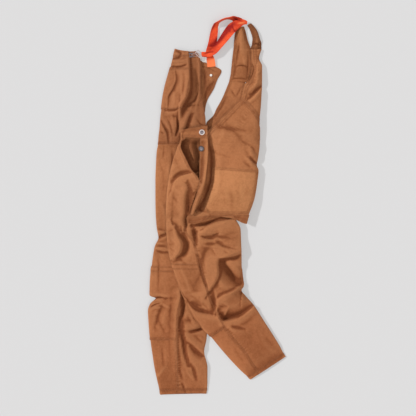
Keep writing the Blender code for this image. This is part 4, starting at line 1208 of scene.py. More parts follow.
class NodeBoard:
    """Adds and joins nodes in one material or node group."""

    def __init__(self, tree: bpy.types.NodeTree) -> None:
        """Takes the tree to work in."""
        self.tree = tree

    def fill(self, node: bpy.types.Node, inputs: dict) -> None:
        """Gives a node's inputs their values, or joins them to other nodes.

        Args:
            node: The node.
            inputs: Values or sockets, by the input's name or number.
        """
        for name, value in inputs.items():
            socket = node.inputs[name]
            if isinstance(value, bpy.types.NodeSocket):
                self.tree.links.new(value, socket)
            else:
                socket.default_value = (*value, 1.0) if socket.type == "RGBA" else value

    def add(self, kind: str, inputs: dict | None = None, **settings: object) -> bpy.types.Node:
        """Adds a node.

        Args:
            kind: The node's type, without its ShaderNode prefix.
            inputs: Values or sockets for its inputs, by name or number.
            **settings: Its other settings.

        Returns:
            The node.
        """
        node = self.tree.nodes.new("ShaderNode" + kind)
        for name, value in settings.items():
            setattr(node, name, value)
        self.fill(node, inputs or {})
        return node

    def math(self, operation: str, *values: object) -> bpy.types.NodeSocket:
        """The result of a Math node on values or sockets."""
        return self.add("Math", dict(enumerate(values)), operation=operation).outputs[0]

    def mix(self, share: object, first: object, second: object, blend: str = "MIX") -> bpy.types.NodeSocket:
        """The result of mixing two colours."""
        inputs = {"Factor": share, 6: first, 7: second}
        return self.add("Mix", inputs, data_type="RGBA", blend_type=blend).outputs[2]

    def noise(self, vector: object, scale: float, detail: float = 3.0) -> bpy.types.NodeSocket:
        """The value of a noise pattern."""
        return self.add("TexNoise", {"Vector": vector, "Scale": scale, "Detail": detail}).outputs["Fac"]

    def spread(self, value: object, low: float, high: float) -> bpy.types.NodeSocket:
        """Spreads a value from low to high over 0 to 1."""
        return self.add("MapRange", {0: value, 1: low, 2: high}).outputs[0]

    def scaled(self, vector: object, by: object) -> bpy.types.NodeSocket:
        """A vector times a value."""
        return self.add("VectorMath", {0: vector, 3: by}, operation="SCALE").outputs[0]

    def stretched(self, vector: object, scale: tuple, turn: tuple = (0, 0, 0)) -> bpy.types.NodeSocket:
        """A vector turned, and scaled by its own amount each way."""
        return self.add("Mapping", {"Vector": vector, "Rotation": turn, "Scale": scale}).outputs[0]

    def bump(self, strength: float, distance: float, height: object) -> bpy.types.NodeSocket:
        """The normal of a surface with heights on it."""
        return self.add("Bump", {"Strength": strength, "Distance": distance, "Height": height}).outputs[0]

    def place(self) -> bpy.types.NodeSocket:
        """Where on the object a point lies, in metres."""
        return self.add("TexCoord").outputs["Object"]

    def cloth(self) -> bpy.types.NodeSocket:
        """Where on the flat cloth a point lies, in metres."""
        return self.add("UVMap", uv_map="cloth").outputs[0]

    def wear_and_painted_light(self) -> tuple[bpy.types.NodeSocket, bpy.types.NodeSocket]:
        """How far a point is rubbed pale, with a painted highlight, and how much painted shade it gets."""
        mask = self.add("Attribute", attribute_name="wear_and_painted_light").outputs["Color"]
        return tuple(self.add("SeparateColor", {0: mask}).outputs)[:2]


def new_group(name: str, inputs: dict[str, str], output: str) -> tuple[NodeBoard, bpy.types.Node, bpy.types.Node]:
    """Starts a node group with an output value.

    Args:
        name: Its name.
        inputs: The socket type of each input, by name.
        output: The output's name.

    Returns:
        The group's board, its input node and its output node.
    """
    group = bpy.data.node_groups.new(name, "ShaderNodeTree")
    for label, kind in inputs.items():
        group.interface.new_socket(label, in_out="INPUT", socket_type="NodeSocket" + kind)
    group.interface.new_socket(output, in_out="OUTPUT", socket_type="NodeSocketFloat")
    return NodeBoard(group), group.nodes.new("NodeGroupInput"), group.nodes.new("NodeGroupOutput")


def weave_group() -> bpy.types.NodeTree:
    """Draws a plain weave: threads over and under, each of uneven thickness.

    Returns:
        A group that puts out the height of the weave, and how thick the thread is.
    """
    board, enter, leave = new_group("plain weave", {"Cloth": "Vector", "Pitch": "Float"}, "Height")
    board.tree.interface.new_socket("Thread", in_out="OUTPUT", socket_type="NodeSocketFloat")
    cloth = enter.outputs["Cloth"]
    split = board.add("SeparateXYZ", {0: board.scaled(cloth, enter.outputs["Pitch"])})
    over = board.math("MULTIPLY", *[
        board.math("SINE", board.math("MULTIPLY", split.outputs[k], math.pi)) for k in (0, 1)
    ])
    slub = board.math("ADD", *[
        board.noise(board.stretched(cloth, scale), 1.0) for scale in ((900.0, 30.0, 1.0), (24.0, 700.0, 1.0))
    ])
    board.fill(leave, {"Height": board.math("MULTIPLY_ADD", over, 0.35, slub), "Thread": board.spread(slub, 0.7, 1.3)})
    return board.tree


def wash_group() -> bpy.types.NodeTree:
    """Draws the cloudy fading of washed cloth, in broad patches and in small ones.

    Returns:
        A group that puts out how faded the cloth is.
    """
    board, enter, leave = new_group("wash clouds", {"Place": "Vector", "Patch": "Float"}, "Tone")
    place = board.scaled(enter.outputs["Place"], enter.outputs["Patch"])
    broad = board.math("MULTIPLY", board.noise(place, 1.0, 4.0), 0.75)
    tone = board.math("MULTIPLY_ADD", board.noise(place, 9.0, 5.0), 0.25, broad)
    board.fill(leave, {"Tone": board.spread(tone, 0.36, 0.64)})
    return board.tree


def scuff_group() -> bpy.types.NodeTree:
    """Draws fine scratches and handling marks on metal.

    Returns:
        A group that puts out how marked the metal is.
    """
    board, enter, leave = new_group("scuffs", {"Place": "Vector", "Scale": "Float"}, "Mark")
    place = board.scaled(enter.outputs["Place"], enter.outputs["Scale"])
    lines = board.stretched(place, (14.0, 1.0, 3.0), (0.3, 0.5, 0.9))
    cut = board.spread(board.noise(lines, 3.0, 6.0), 0.45, 0.62)
    board.fill(leave, {"Mark": board.math("MULTIPLY", cut, board.noise(place, 1.5))})
    return board.tree


class Marks(Enum):
    """Node groups that more than one finish uses."""

    WEAVE = "plain weave"
    WASH = "wash clouds"
    SCUFF = "scuffs"

    def placed(self, board: NodeBoard, inputs: dict) -> bpy.types.Node:
        """Places this group in a material, building it the first time.

        Args:
            board: The material's board.
            inputs: Values or sockets for the group's inputs.

        Returns:
            The group's node.
        """
        makers = {Marks.WEAVE: weave_group, Marks.WASH: wash_group, Marks.SCUFF: scuff_group}
        tree = bpy.data.node_groups.get(self.value) or makers[self]()
        return board.add("Group", inputs, node_tree=tree)


Colour = tuple[float, float, float]


@dataclass(frozen=True)
class Finish:
    """What a surface looks like."""

    name: str
    deep: Colour
    plain: Colour

    def material(self) -> bpy.types.Material:
        """Builds the finish.

        Returns:
            The material.
        """
        made = bpy.data.materials.new(self.name)
        made.use_nodes = True
        board = NodeBoard(made.node_tree)
        board.fill(made.node_tree.nodes["Principled BSDF"], self.surface(board))
        return made

    def surface(self, board: NodeBoard) -> dict:
        """Works out the values and sockets for the material's shader."""
        raise NotImplementedError


@dataclass(frozen=True)
class DuckFinish(Finish):
    """Washed cotton duck."""

    # pale colour of rubbed cloth, also laid on ridges as a painted highlight
    worn: Colour
    pitch: float = 950.0  # threads in a metre
    patch: float = 6.0  # broad wash clouds in a metre
    fade: float = 0.26  # how far ridges and edges are made pale: partly rubbing, partly a painted highlight
    low_leg: Colour = (0.80, 0.62, 0.56)  # how the legs have darkened towards their hems
    painted_shade_tint: Colour = (0.52, 0.40, 0.35)  # tint of the painted shade in creases and along the stitch grooves

    def surface(self, board: NodeBoard) -> dict:
        """Reads the cloth's own coordinates and its attribute of paleness and painted shade.

        Args:
            board: The material's board.

        Returns:
            The shader's inputs.
        """
        place, (rubbed, painted_shade) = board.place(), board.wear_and_painted_light()
        weave = Marks.WEAVE.placed(board, {"Cloth": board.cloth(), "Pitch": self.pitch})
        wash = Marks.WASH.placed(board, {"Place": place, "Patch": self.patch}).outputs["Tone"]
        grain = board.math("MULTIPLY_ADD", board.noise(place, 260.0), 0.9, weave.outputs["Thread"])
        slub = board.math("MULTIPLY_ADD", board.math("SUBTRACT", board.noise(place, 120.0, 2.0), 0.42), 2.8, grain)
        tone = board.math("MULTIPLY_ADD", slub, 0.42, wash)
        colour = board.mix(board.spread(tone, 0.35, 1.55), self.deep, self.plain)
        along = board.add("SeparateXYZ", {0: place}).outputs[1]
        low = board.math("MULTIPLY", board.spread(along, -0.05, -0.5), 0.5)
        colour = board.mix(low, colour, self.low_leg, "MULTIPLY")
        # paler where rubbed, which also lays a painted highlight on ridges and near the edges
        colour = board.mix(board.math("MULTIPLY", rubbed, self.fade), colour, self.worn)
        # painted shade in creases and along the stitch grooves
        colour = board.mix(board.math("MULTIPLY", painted_shade, 0.8), colour, self.painted_shade_tint, "MULTIPLY")
        crinkle = board.math("MULTIPLY_ADD", board.noise(place, 120.0, 4.0), 2.2, weave.outputs["Height"])
        return {
            "Base Color": colour,
            "Roughness": board.math("MULTIPLY_ADD", wash, 0.08, 0.84),
            "Diffuse Roughness": 0.55,
            "Specular IOR Level": 0.12,
            "Normal": board.bump(1.0, 0.0008, crinkle),
        }


@dataclass(frozen=True)
class WebbingFinish(Finish):
    """Ribbed woven webbing."""

    rib: float = 1700.0  # half ribs in a metre
    # paler orange for the faded end, also laid on ridges as a painted highlight
    faded: Colour = (1.0, 0.30, 0.11)
    # tint of the painted shade in the webbing's creases
    crease_shade: Colour = (0.42, 0.12, 0.22)

    def surface(self, board: NodeBoard) -> dict:
        """Runs the ribs along the webbing's own coordinates.

        Args:
            board: The material's board.

        Returns:
            The shader's inputs.
        """
        rubbed, painted_shade = board.wear_and_painted_light()
        weave = Marks.WEAVE.placed(board, {"Cloth": board.cloth(), "Pitch": self.rib})
        wash = Marks.WASH.placed(board, {"Place": board.place(), "Patch": 22.0})
        tone = board.math("MULTIPLY_ADD", weave.outputs["Thread"], 0.3, wash.outputs["Tone"])
        colour = board.mix(board.spread(tone, 0.0, 1.1), self.deep, self.plain)
        # paler on the faded end, and a painted highlight on ridges
        colour = board.mix(rubbed, colour, self.faded)
        return {
            # painted shade in the creases
            "Base Color": board.mix(painted_shade, colour, self.crease_shade, "MULTIPLY"),
            "Roughness": board.math("MULTIPLY_ADD", weave.outputs["Thread"], 0.15, 0.6),
            "Specular IOR Level": 0.2,
            "Normal": board.bump(0.6, 0.0005, weave.outputs["Height"]),
        }


@dataclass(frozen=True)
class MetalFinish(Finish):
    """Plated steel that has been handled, plain where clean and deep where it is marked."""

    metallic: float = 1.0
    rough: float = 0.28
    scale: float = 60.0

    def surface(self, board: NodeBoard) -> dict:
        """Lays scuffs over the plating.

        Args:
            board: The material's board.

        Returns:
            The shader's inputs.
        """
        mark = Marks.SCUFF.placed(board, {"Place": board.place(), "Scale": self.scale}).outputs[0]
        return {
            "Base Color": board.mix(mark, self.plain, self.deep),
            "Roughness": board.math("MULTIPLY_ADD", mark, 0.5, self.rough),
            "Metallic": self.metallic,
            "Normal": board.bump(0.25, 0.0001, mark),
        }


@dataclass(frozen=True)
class ThreadFinish(Finish):
    """Twisted sewing thread."""

    def surface(self, board: NodeBoard) -> dict:
        """Twists the thread.

        Args:
            board: The material's board.

        Returns:
            The shader's inputs.
        """
        place = board.place()
        tone = board.noise(place, 260.0, 2.0)
        return {
            "Base Color": board.mix(tone, self.deep, self.plain),
            "Roughness": board.math("MULTIPLY_ADD", tone, 0.2, 0.6),
            "Normal": board.bump(0.4, 0.0002, board.noise(place, 1900.0, 1.0)),
        }


@dataclass(frozen=True)
class FloorFinish(Finish):
    """Pale matt paper on a light table, which keeps its shadows faint."""

    glow: float = 0.33

    def surface(self, board: NodeBoard) -> dict:
        """Lights the paper from below.

        Args:
            board: The material's board.

        Returns:
            The shader's inputs.
        """
        cloud = board.math("MULTIPLY", board.noise(board.place(), 3.0, 2.0), 0.04)
        return {
            "Base Color": board.mix(cloud, self.plain, self.deep),
            "Roughness": 0.95,
            "Emission Color": (1.0, 1.0, 1.0),
            "Emission Strength": self.glow,
        }


DUCK = DuckFinish("duck", (0.318, 0.119, 0.047), (0.468, 0.193, 0.083), (0.66, 0.32, 0.15))
DUCK_INSIDE = DuckFinish("duck inside", (0.31, 0.115, 0.047), (0.445, 0.183, 0.079), (0.63, 0.30, 0.143))
# Painted shade: a darker copy of the duck for cloth that lies in shadow, the pocket's facing and the far strap
DUCK_SHADED = DuckFinish("duck painted shade", (0.20, 0.072, 0.028), (0.29, 0.112, 0.046), (0.46, 0.20, 0.088), fade=0.5)
DUCK_PATCH = DuckFinish("duck patch", (0.378, 0.153, 0.061), (0.546, 0.243, 0.106), (0.72, 0.37, 0.17), patch=8.0)
DUCK_FRONT = DuckFinish("duck front", (0.262, 0.095, 0.039), (0.39, 0.154, 0.066), (0.60, 0.28, 0.135))
WEBBING = WebbingFinish("orange webbing", (0.52, 0.028, 0.010), (0.86, 0.108, 0.030))
STEEL = MetalFinish("nickelled steel", (0.30, 0.25, 0.28), (0.66, 0.60, 0.63), metallic=0.7)
BRIGHT = MetalFinish("bright button", (0.46, 0.42, 0.46), (0.86, 0.82, 0.82), metallic=0.45, rough=0.3)
TARNISH = MetalFinish("tarnished nickel", (0.12, 0.10, 0.12), (0.34, 0.31, 0.35), rough=0.3)
OXIDE = MetalFinish("dark recess", (0.05, 0.045, 0.048), (0.155, 0.145, 0.15), rough=0.4)
COPPER = MetalFinish("worn copper plate", (0.20, 0.10, 0.075), (0.56, 0.34, 0.27), metallic=0.8)
ENAMEL = MetalFinish("off-white enamel", (0.55, 0.52, 0.50), (0.78, 0.76, 0.74), metallic=0.0, rough=0.3)
THREAD_TAN = ThreadFinish("tan thread", (0.30, 0.125, 0.052), (0.47, 0.235, 0.11))
FLOOR = FloorFinish("pale floor", (0.30, 0.30, 0.305), (0.325, 0.342, 0.366))


def deselect() -> None:
    """Leaves nothing selected."""
    bpy.ops.object.select_all(action="DESELECT")


def take(piece: bpy.types.Object) -> None:
    """Makes a piece the only one selected, and active."""
    deselect()
    piece.select_set(True)
    bpy.context.view_layer.objects.active = piece


def started(name: str) -> bpy.types.Object:
    """Names the primitive that was just added, and its mesh, and returns it."""
    piece = bpy.context.active_object
    piece.name = piece.data.name = name
    return piece


def apply_modifier(piece: bpy.types.Object, kind: str, **settings: object) -> None:
    """Adds a modifier and applies it.

    Args:
        piece: What it changes.
        kind: The modifier's type.
        **settings: Its settings.
    """
    take(piece)
    made = piece.modifiers.new(kind.title(), kind)
    for name, value in settings.items():
        setattr(made, name, value)
    bpy.ops.object.modifier_apply(modifier=made.name)


def settle(piece: bpy.types.Object) -> None:
    """Puts a piece's place into its mesh, so that its object sits at the origin."""
    take(piece)
    bpy.ops.object.transform_apply(location=True, rotation=True, scale=True)


def cloth_piece(name: str, spread: Spread, material: bpy.types.Material, thick: float,
                offset: float) -> bpy.types.Object:
    """Makes a wall of cloth from a spread net.

    Args:
        name: The piece's name.
        spread: Its points.
        material: Its finish.
        thick: Thickness of the wall, in millimetres.
        offset: Where the points lie in the wall, as Solidify counts it.

    Returns:
        The piece.
    """
    rows, cols = spread.points.shape[:2]
    deselect()
    bpy.ops.mesh.primitive_grid_add(x_subdivisions=cols - 1, y_subdivisions=rows - 1, size=1.0)
    piece = started(name)
    mesh = piece.data
    mesh.vertices.foreach_set("co", (spread.points[::-1] * MM).ravel())
    corners = np.empty(len(mesh.loops), int)
    mesh.loops.foreach_get("vertex_index", corners)
    while mesh.uv_layers:
        mesh.uv_layers.remove(mesh.uv_layers[0])
    layer = mesh.uv_layers.new(name="cloth")
    layer.uv.foreach_set("vector", (spread.cloth[::-1] * MM).reshape(-1, 2)[corners].ravel())
    colour = np.zeros((rows, cols, 4))
    colour[..., :2], colour[..., 3] = spread.wear_and_painted_light[::-1], 1.0
    # the attribute's first channel is paleness with a painted highlight, its second painted shade
    mesh.attributes.new("wear_and_painted_light", "FLOAT_COLOR", "POINT").data.foreach_set("color", colour.ravel())
    mesh.materials.append(material)
    mesh.update()
    apply_modifier(piece, "SOLIDIFY", thickness=thick * MM, offset=offset, use_even_offset=False)
    take(piece)
    bpy.ops.object.shade_smooth_by_angle(angle=math.radians(CLOTH_CREASE))
    return piece


def cut_size(spread: Spread) -> tuple[tuple[float, float], float]:
    """Measures a spread net as flat cloth.

    Args:
        spread: The net.

    Returns:
        Its width and length in metres, and its area in square metres.
    """
    points = spread.points * MM
    over, down = np.diff(points, axis=1)[:-1], np.diff(points, axis=0)[:, :-1]
    area = float(np.linalg.norm(np.cross(over, down), axis=-1).sum())
    length = float(np.median(np.linalg.norm(down, axis=-1).sum(0)))
    width = float(np.linalg.norm(over, axis=-1).sum(1).max())
    flat = tuple(round(math.ceil(side / MM) * MM, 3) for side in (width, max(length, area / width)))
    return flat, round(area, 5)


def dropped(tree: BVHTree, path: tuple) -> tuple[np.ndarray, np.ndarray]:
    """Lets a line fall on cloth from above.

    Args:
        tree: The cloth.
        path: Corner points of the line in plan.

    Returns:
        Points and normals on the cloth.
    """
    points, normals = [], []
    for x, y in smooth_line(path, 10):
        hit, normal = tree.ray_cast(Vector((x, y, DROP_FROM)), Vector((0, 0, -1)))[:2]
        if hit:
            points.append(hit[:])
            normals.append(normal[:] if normal.z > 0 else (-normal)[:])
    return np.array(points), np.array(normals)


@dataclass(frozen=True)
class Cut:
    """One sheet of cloth: its name and make, what it stands for and what it lies on."""

    name: str
    nodes: tuple[str, ...]
    rests: tuple[str, ...]
    look: Finish = DUCK
    slot: str = "duck"
    thick: float = CLOTH
    offset: float = -1.0  # where its net lies in its wall: -1 is the outer face
    hold: Hold = Hold.LAID


@dataclass
class Sewing:
    """Keeps what the sub-assemblies share, their finishes, and logs each piece as it is handed over."""

    materials: dict[str, bpy.types.Material] = field(default_factory=dict)

    def finish(self, look: Finish) -> bpy.types.Material:
        """The material of a finish, built the first time it is asked for."""
        if look.name not in self.materials:
            self.materials[look.name] = look.material()
        return self.materials[look.name]

    def hand_over(self, piece: bpy.types.Object, slot: str, nodes: tuple[str, ...] = ()) -> None:
        """Makes a piece ride and reports it.

        Args:
            piece: The finished piece.
            slot: Its material slot; not used.
            nodes: The nodes it stands for.
        """
        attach(piece, "root")
        if nodes:
            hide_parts(*nodes)
        log.info("%s: %d faces, stands for %s", piece.name, len(piece.data.polygons), ", ".join(nodes) or "itself")

    def sheet(self, cut: Cut, spread: Spread) -> None:
        """Makes a sheet of cloth, measures its flat size and hands it over.

        Args:
            cut: What the sheet is.
            spread: Its net.
        """
        piece = cloth_piece(cut.name, spread, self.finish(cut.look), cut.thick, cut.offset)
        flat, area = cut_size(spread)
        list(cut.rests)
        self.hand_over(piece, cut.slot, cut.nodes)


@dataclass
class Stitching:
    """Rows of stitches, gathered for one piece of thread."""

    name: str
    finish: ThreadFinish = THREAD_TAN
    runs: list[tuple[np.ndarray, np.ndarray]] = field(default_factory=list)

    def add(self, points: np.ndarray, normals: np.ndarray, trim: float = STITCH_TRIM) -> None:
        """Adds a row of stitches along a line.

        Args:
            points: The line.
            normals: The cloth's normals along it.
            trim: How much is left free at each end, in millimetres.
        """
        length = totals(spans_of(points))
        room = length[-1] - 2 * trim
        count = int(room / (STITCH + STITCH_GAP))
        if count < 1:
            return
        places = trim + (np.arange(count) + 0.5) * room / count
        at, ahead, behind, normal = (
            np.column_stack([np.interp(where, length, source[:, k]) for k in range(3)])
            for where, source in (
                (places, points), (places + STITCH_AHEAD, points), (places - STITCH_AHEAD, points), (places, normals)
            )
        )
        run = unit(ahead - behind)
        side = unit(np.cross(normal, run))
        self.runs.append((at, np.stack([run, side, np.cross(run, side)], axis=1)))

    def follow(self, spread: Spread, edges: dict[Edge, Doubled]) -> None:
        """Stitches along a sheet's edges.

        Args:
            spread: The sheet's net.
            edges: How each edge is sewn.
        """
        for edge, kind in edges.items():
            for far in kind.stitches:
                self.add(*spread.line(edge, far))

    def work(self, mound: Mound, paths: tuple) -> None:
        """Stitches along lines given in plan."""
        tree = mound.tree()
        for path in paths:
            self.add(*dropped(tree, path), trim=0.0)

    def build(self, sewing: Sewing) -> None:
        """Models one stitch, copies it to every place and joins the copies.

        Args:
            sewing: Takes the finished thread.
        """
        deselect()
        bpy.ops.mesh.primitive_uv_sphere_add(segments=5, ring_count=4, radius=0.5, rotation=(0, math.pi / 2, 0))
        piece = started(self.name)
        settle(piece)
        one = np.array([v.co[:] for v in piece.data.vertices]) * (STITCH, THREAD, THREAD_TALL)
        faces = [tuple(f.vertices) for f in piece.data.polygons]
        at, axes = (np.concatenate([run[k] for run in self.runs]) for k in (0, 1))
        points = (np.einsum("vk,skc->svc", one, axes) + at[:, None, :]) * MM
        every = [tuple(k + s * len(one) for k in face) for s in range(len(at)) for face in faces]
        old = piece.data
        piece.data = bpy.data.meshes.new(self.name)
        bpy.data.meshes.remove(old)
        piece.data.name = self.name
        piece.data.from_pydata(points.reshape(-1, 3).tolist(), [], every)
        piece.data.materials.append(sewing.finish(self.finish))
        piece.data.shade_smooth()
        sewing.hand_over(piece, "duck")


@dataclass(frozen=True)
class Panel:
    """One cut piece of a mound's cloth: which rows and columns it covers and how it is edged."""

    cut: Cut
    rows: tuple[int, int]
    cols: tuple[int, int]
    edges: dict[Edge, Doubled]
    out: float = 0.0

    def spread(self, mound: Mound) -> Spread:
        """The panel's part of a mound's net."""
        return mound.spread(self.rows, self.cols, self.out)

    def sew(self, spread: Spread, sewing: Sewing, thread: Stitching) -> None:
        """Makes the panel and adds its stitches to the thread.

        Args:
            spread: The panel's net.
            sewing: Makes the sheet.
            thread: Where its stitches go.
        """
        spread = spread.rimmed().doubled(self.edges)
        thread.follow(spread, self.edges)
        sewing.sheet(self.cut, spread)


def under_cloth(cut: Cut, mound: Mound, rows: tuple[int, int], sewing: Sewing) -> None:
    """The layer of cloth that a part of the garment lies on, from one folded edge to the other.

    Args:
        cut: What the layer is.
        mound: The part.
        rows: Its first and last row.
        sewing: Makes the sheet.
    """
    picked = slice(rows[0], rows[1] + 1)
    net = mound.net[picked]
    foot = net[:, (0, -1)]
    foot[..., 2] = np.where(mound.loose[picked], UNDER_Z, np.maximum(foot[..., 2], UNDER_Z))
    share = np.linspace(0, 1, UNDER_COLUMNS)[:, None]
    inset = unit(foot[:, 1] - foot[:, 0]) * UNDER_INSET
    points = (foot[:, 0] + inset)[:, None] * (1 - share) + (foot[:, 1] - inset)[:, None] * share
    if mound.rest:
        held = blurred(mound.rest.height(points[..., 0], points[..., 1]), REST_BLUR)
        top = blurred(np.repeat(net[:, mound.seam: mound.seam + 1, 2], UNDER_COLUMNS, 1), 1)
        points[..., 2] = np.clip(held + CLOTH, UNDER_Z, np.maximum(top - UNDER_ROOM, UNDER_Z))
    length = totals(spans_of(points[:, UNDER_COLUMNS // 2]))
    width = np.linalg.norm(points[:, -1] - points[:, 0], axis=1)
    cloth = np.stack(np.broadcast_arrays(share[:, 0] * width[:, None], length[:, None]), -1)
    upward = np.broadcast_to((0.0, 0.0, 1.0), points.shape)
    sewing.sheet(cut, Spread(points, upward, cloth, np.zeros((*points.shape[:2], 2))))


ON_FLOOR = ("floor",)
ON_RIGHT = ("right_side_under_cloth",)
ON_BACK = ("back_cloth",)
ON_LEFT = ("left_front_cloth", "floor")


@dataclass
class RightSide:
    """The bib, its chest pocket and the right leg, which lie on the surface."""

    sewing: Sewing
    thread: Stitching = field(default_factory=lambda: Stitching("right_side_stitching"))
    mound: Mound = field(init=False)

    def __post_init__(self) -> None:
        """Lays out the cloth."""
        self.mound = Mound(RIGHT_SIDE, (9, 5), RIGHT_SIDE_FOLDS, RIGHT_SIDE_CREASES, 11, loose_back="right leg top")

    def build(self) -> None:
        """Sews every panel of the bib and the right leg."""
        row, seam, last = self.mound.row, self.mound.seam, self.mound.last
        panels = (
            Panel(Cut("bib_front_cloth", ("bib_front",), ON_FLOOR, DUCK_FRONT), (0, row["waist seam"]), (0, last),
                  edged(top=BIB_TOP, back=TWIN, bottom=FELLED, front=PLAIN)),
            Panel(Cut("chest_pocket_cloth", ("chest_pocket",), ON_FLOOR, DUCK_FRONT),
                  (row["chest pocket top"], row["chest pocket bottom"]), (FINER, seam),
                  edged(top=POCKET_TOP, back=TURNED, bottom=TURNED, front=TURNED), LAYER),
            Panel(Cut("right_front_cloth", ("right_front",), ON_FLOOR), (row["waist seam"], row["right hem"]),
                  (0, seam), edged(top=PLAIN, back=FELLED, bottom=HEM, front=PLAIN)),
            Panel(Cut("right_back_cloth", ("right_back",), ON_FLOOR),
                  (row["right back top"] - RIGHT_BACK_MORE, row["right hem"]), (seam, last),
                  edged(top=PLAIN, front=PLAIN, bottom=HEM, back=PLAIN)),
            Panel(Cut("right_knee_patch_cloth", ("right_knee_patch",), ON_FLOOR),
                  (row["right patch top"], row["right patch bottom"]), (2, seam - 2),
                  edged(top=LAPPED, back=PLAIN, bottom=TWIN, front=PLAIN), LAYER),
        )
        for panel in panels:
            panel.sew(panel.spread(self.mound), self.sewing, self.thread)
        self.thread.work(self.mound, BIB_WORK)
        cores = "bib_core", "right_leg_core"
        under_cloth(Cut("right_side_under_cloth", cores, ON_FLOOR, DUCK_INSIDE, "duck_shade"), self.mound,
                    (1, row["right hem"]), self.sewing)
        self.thread.build(self.sewing)


@dataclass
class LeftSide:
    """The waist, fly, pocket and the left leg, which lie across the right leg."""

    sewing: Sewing
    right: Mound
    back: Mound = field(init=False)
    leg: Mound = field(init=False)
    hip: Mound = field(init=False)
    thread: Stitching = field(default_factory=lambda: Stitching("left_leg_stitching"))

    def __post_init__(self) -> None:
        """Lays out the cloth, the back's included because the hip lies on it."""
        self.leg = Mound(LEFT_LEG, (7, 9), LEG_FOLDS, LEG_CREASES, 31, Rest([self.right]), peak=0.4)
        self.back = Mound(BACK, (5, 9), BACK_FOLDS, BACK_CREASES, 51, Rest([self.right, self.leg], HEM_REACH),
                          peak=0.68, loose_front="seat hem", pulls=BACK_PULLS)
        self.hip = Mound(LEFT_HIP, (7, 3, 3), HIP_FOLDS, HIP_CREASES, 71, Rest([self.right, self.back], HEM_REACH),
                         peak=0.45, back_curl=FLY_CURL)

    def joined_front(self) -> Spread:
        """Joins the hip's rows to the leg's, with a few rows between.

        Returns:
            The left front's net.
        """
        row, leg = self.hip.row, self.leg.row
        upper = self.hip.spread((row["waistband bottom"], row["hip end"]), (0, self.hip.seam))
        below_pocket = slice(row["pocket opening end"] + 1, row["hip end"] + 1)
        tucked = slice(row["pocket opening end"] + 1 - row["waistband bottom"], None)
        for net, source in ((upper.points, self.hip.net), (upper.normal, self.hip.normal)):
            net[tucked, -1] = source[below_pocket, self.hip.seam + 5 * FINER]
        upper.points[tucked, -1, 2] -= TUCKED_DOWN
        upper.cloth[tucked, -1, 0] += TUCKED_OVER
        lower = self.leg.spread((leg["left leg top"], leg["left hem"]), (0, self.leg.seam))
        start = upper.cloth[-1:, :, 1] + np.linalg.norm(lower.points[0] - upper.points[-1], axis=-1)
        lower.cloth[..., 1] += start - lower.cloth[:1, :, 1]
        above, below = upper.channels(), lower.channels()
        between = [above[-1] + (below[0] - above[-1]) * share for share in JOIN_SHARES]
        values = np.concatenate([above, np.array(between), below])
        middle = slice(len(above) - JOIN_REACH, len(above) + len(between) + JOIN_REACH)
        for _ in range(JOIN_ROUNDS):
            values[middle, :, :3] = blurred(values[..., :3], 1)[middle]
        return Spread.from_channels(values)

    def build(self) -> None:
        """Sews the waist, the hip and the left leg."""
        hip, leg, seam, last = self.hip.row, self.leg.row, self.leg.seam, self.hip.last
        fly = self.hip.seam + 3 * FINER
        front = Panel(Cut("left_front_cloth", ("left_front",), ON_RIGHT), (0, 0), (0, 0),
                      edged(top=PLAIN, back=FELLED, bottom=HEM, front=PLAIN))
        band = Panel(Cut("waistband_cloth", ("waistband",), ON_BACK), (hip["waistband top"], hip["waistband bottom"]),
                     (0, last), edged(top=TWIN, bottom=TWIN, front=PLAIN, back=TURNED))
        placket = Panel(Cut("placket_cloth", ("placket",), ON_BACK), (hip["waistband bottom"], hip["hip end"]),
                        (fly, last), edged(top=PLAIN, front=TURNED, back=TURNED, bottom=PLAIN))
        # the facing takes the darker copy of the duck as painted shade
        facing = Panel(Cut("pocket_facing_cloth", ("pocket_facing",), ON_BACK, DUCK_SHADED, "duck_shade"),
                       (hip["waistband bottom"], hip["pocket opening end"] + 4), (self.hip.seam - 12, fly + 5),
                       edged(top=PLAIN), -LAYER - 0.6)
        back = Panel(Cut("left_back_cloth", ("left_back",), ON_RIGHT), (0, leg["left hem"]), (seam, self.leg.last),
                     edged(front=PLAIN, bottom=HEM, top=PLAIN, back=PLAIN))
        patch = Panel(Cut("left_knee_patch_cloth", ("left_knee_patch",), ON_RIGHT),
                      (leg["left patch top"], leg["left patch bottom"]), (2, seam - 2),
                      edged(top=LAPPED, back=PLAIN, bottom=TWIN, front=PLAIN), LAYER)
        for panel, spread in (
            (front, self.joined_front()),
            (band, band.spread(self.hip)),
            (placket, placket.spread(self.hip)),
            (facing, self.sunk(facing.spread(self.hip))),
            (back, back.spread(self.leg)),
            (patch, patch.spread(self.leg)),
        ):
            panel.sew(spread, self.sewing, self.thread)
        under = Cut("left_leg_under_cloth", ("left_leg_core", "hip_core"), ("right_front_cloth", "right_back_cloth"),
                    DUCK_INSIDE, "duck_shade")
        under_cloth(under, self.leg, (1, leg["left hem"]), self.sewing)
        self.thread.work(self.hip, FLY_WORK)
        self.thread.build(self.sewing)

    def sunk(self, spread: Spread) -> Spread:
        """Sinks the pocket's facing away from the gaping opening, with one fold left standing.

        Args:
            spread: The facing's net.

        Returns:
            The same net, changed.
        """
        rows, cols = spread.points.shape[:2]
        down = np.linspace(0, 1, rows)[:, None]
        over = np.linspace(0, 1, cols)[None, :]
        depth = FACING_SINK * np.clip(down / 0.12, 0, 1) * np.clip((1 - down) / 0.3, 0, 1) ** 0.7
        stand = np.exp(-(((over - 0.64) / 0.06) ** 2)) * np.clip(down / 0.08, 0, 1)
        stand = stand * np.clip((0.56 - down) / 0.12, 0, 1)
        sunk = spread.points[..., 2] - depth * np.clip(over / 0.12, 0, 1) * (1 - 0.85 * stand)
        least = self.hip.rest.height(spread.points[..., 0], spread.points[..., 1]) + CLOTH + 0.4
        spread.points[..., 2] = np.minimum(spread.points[..., 2], np.maximum(sunk, least))
        return spread


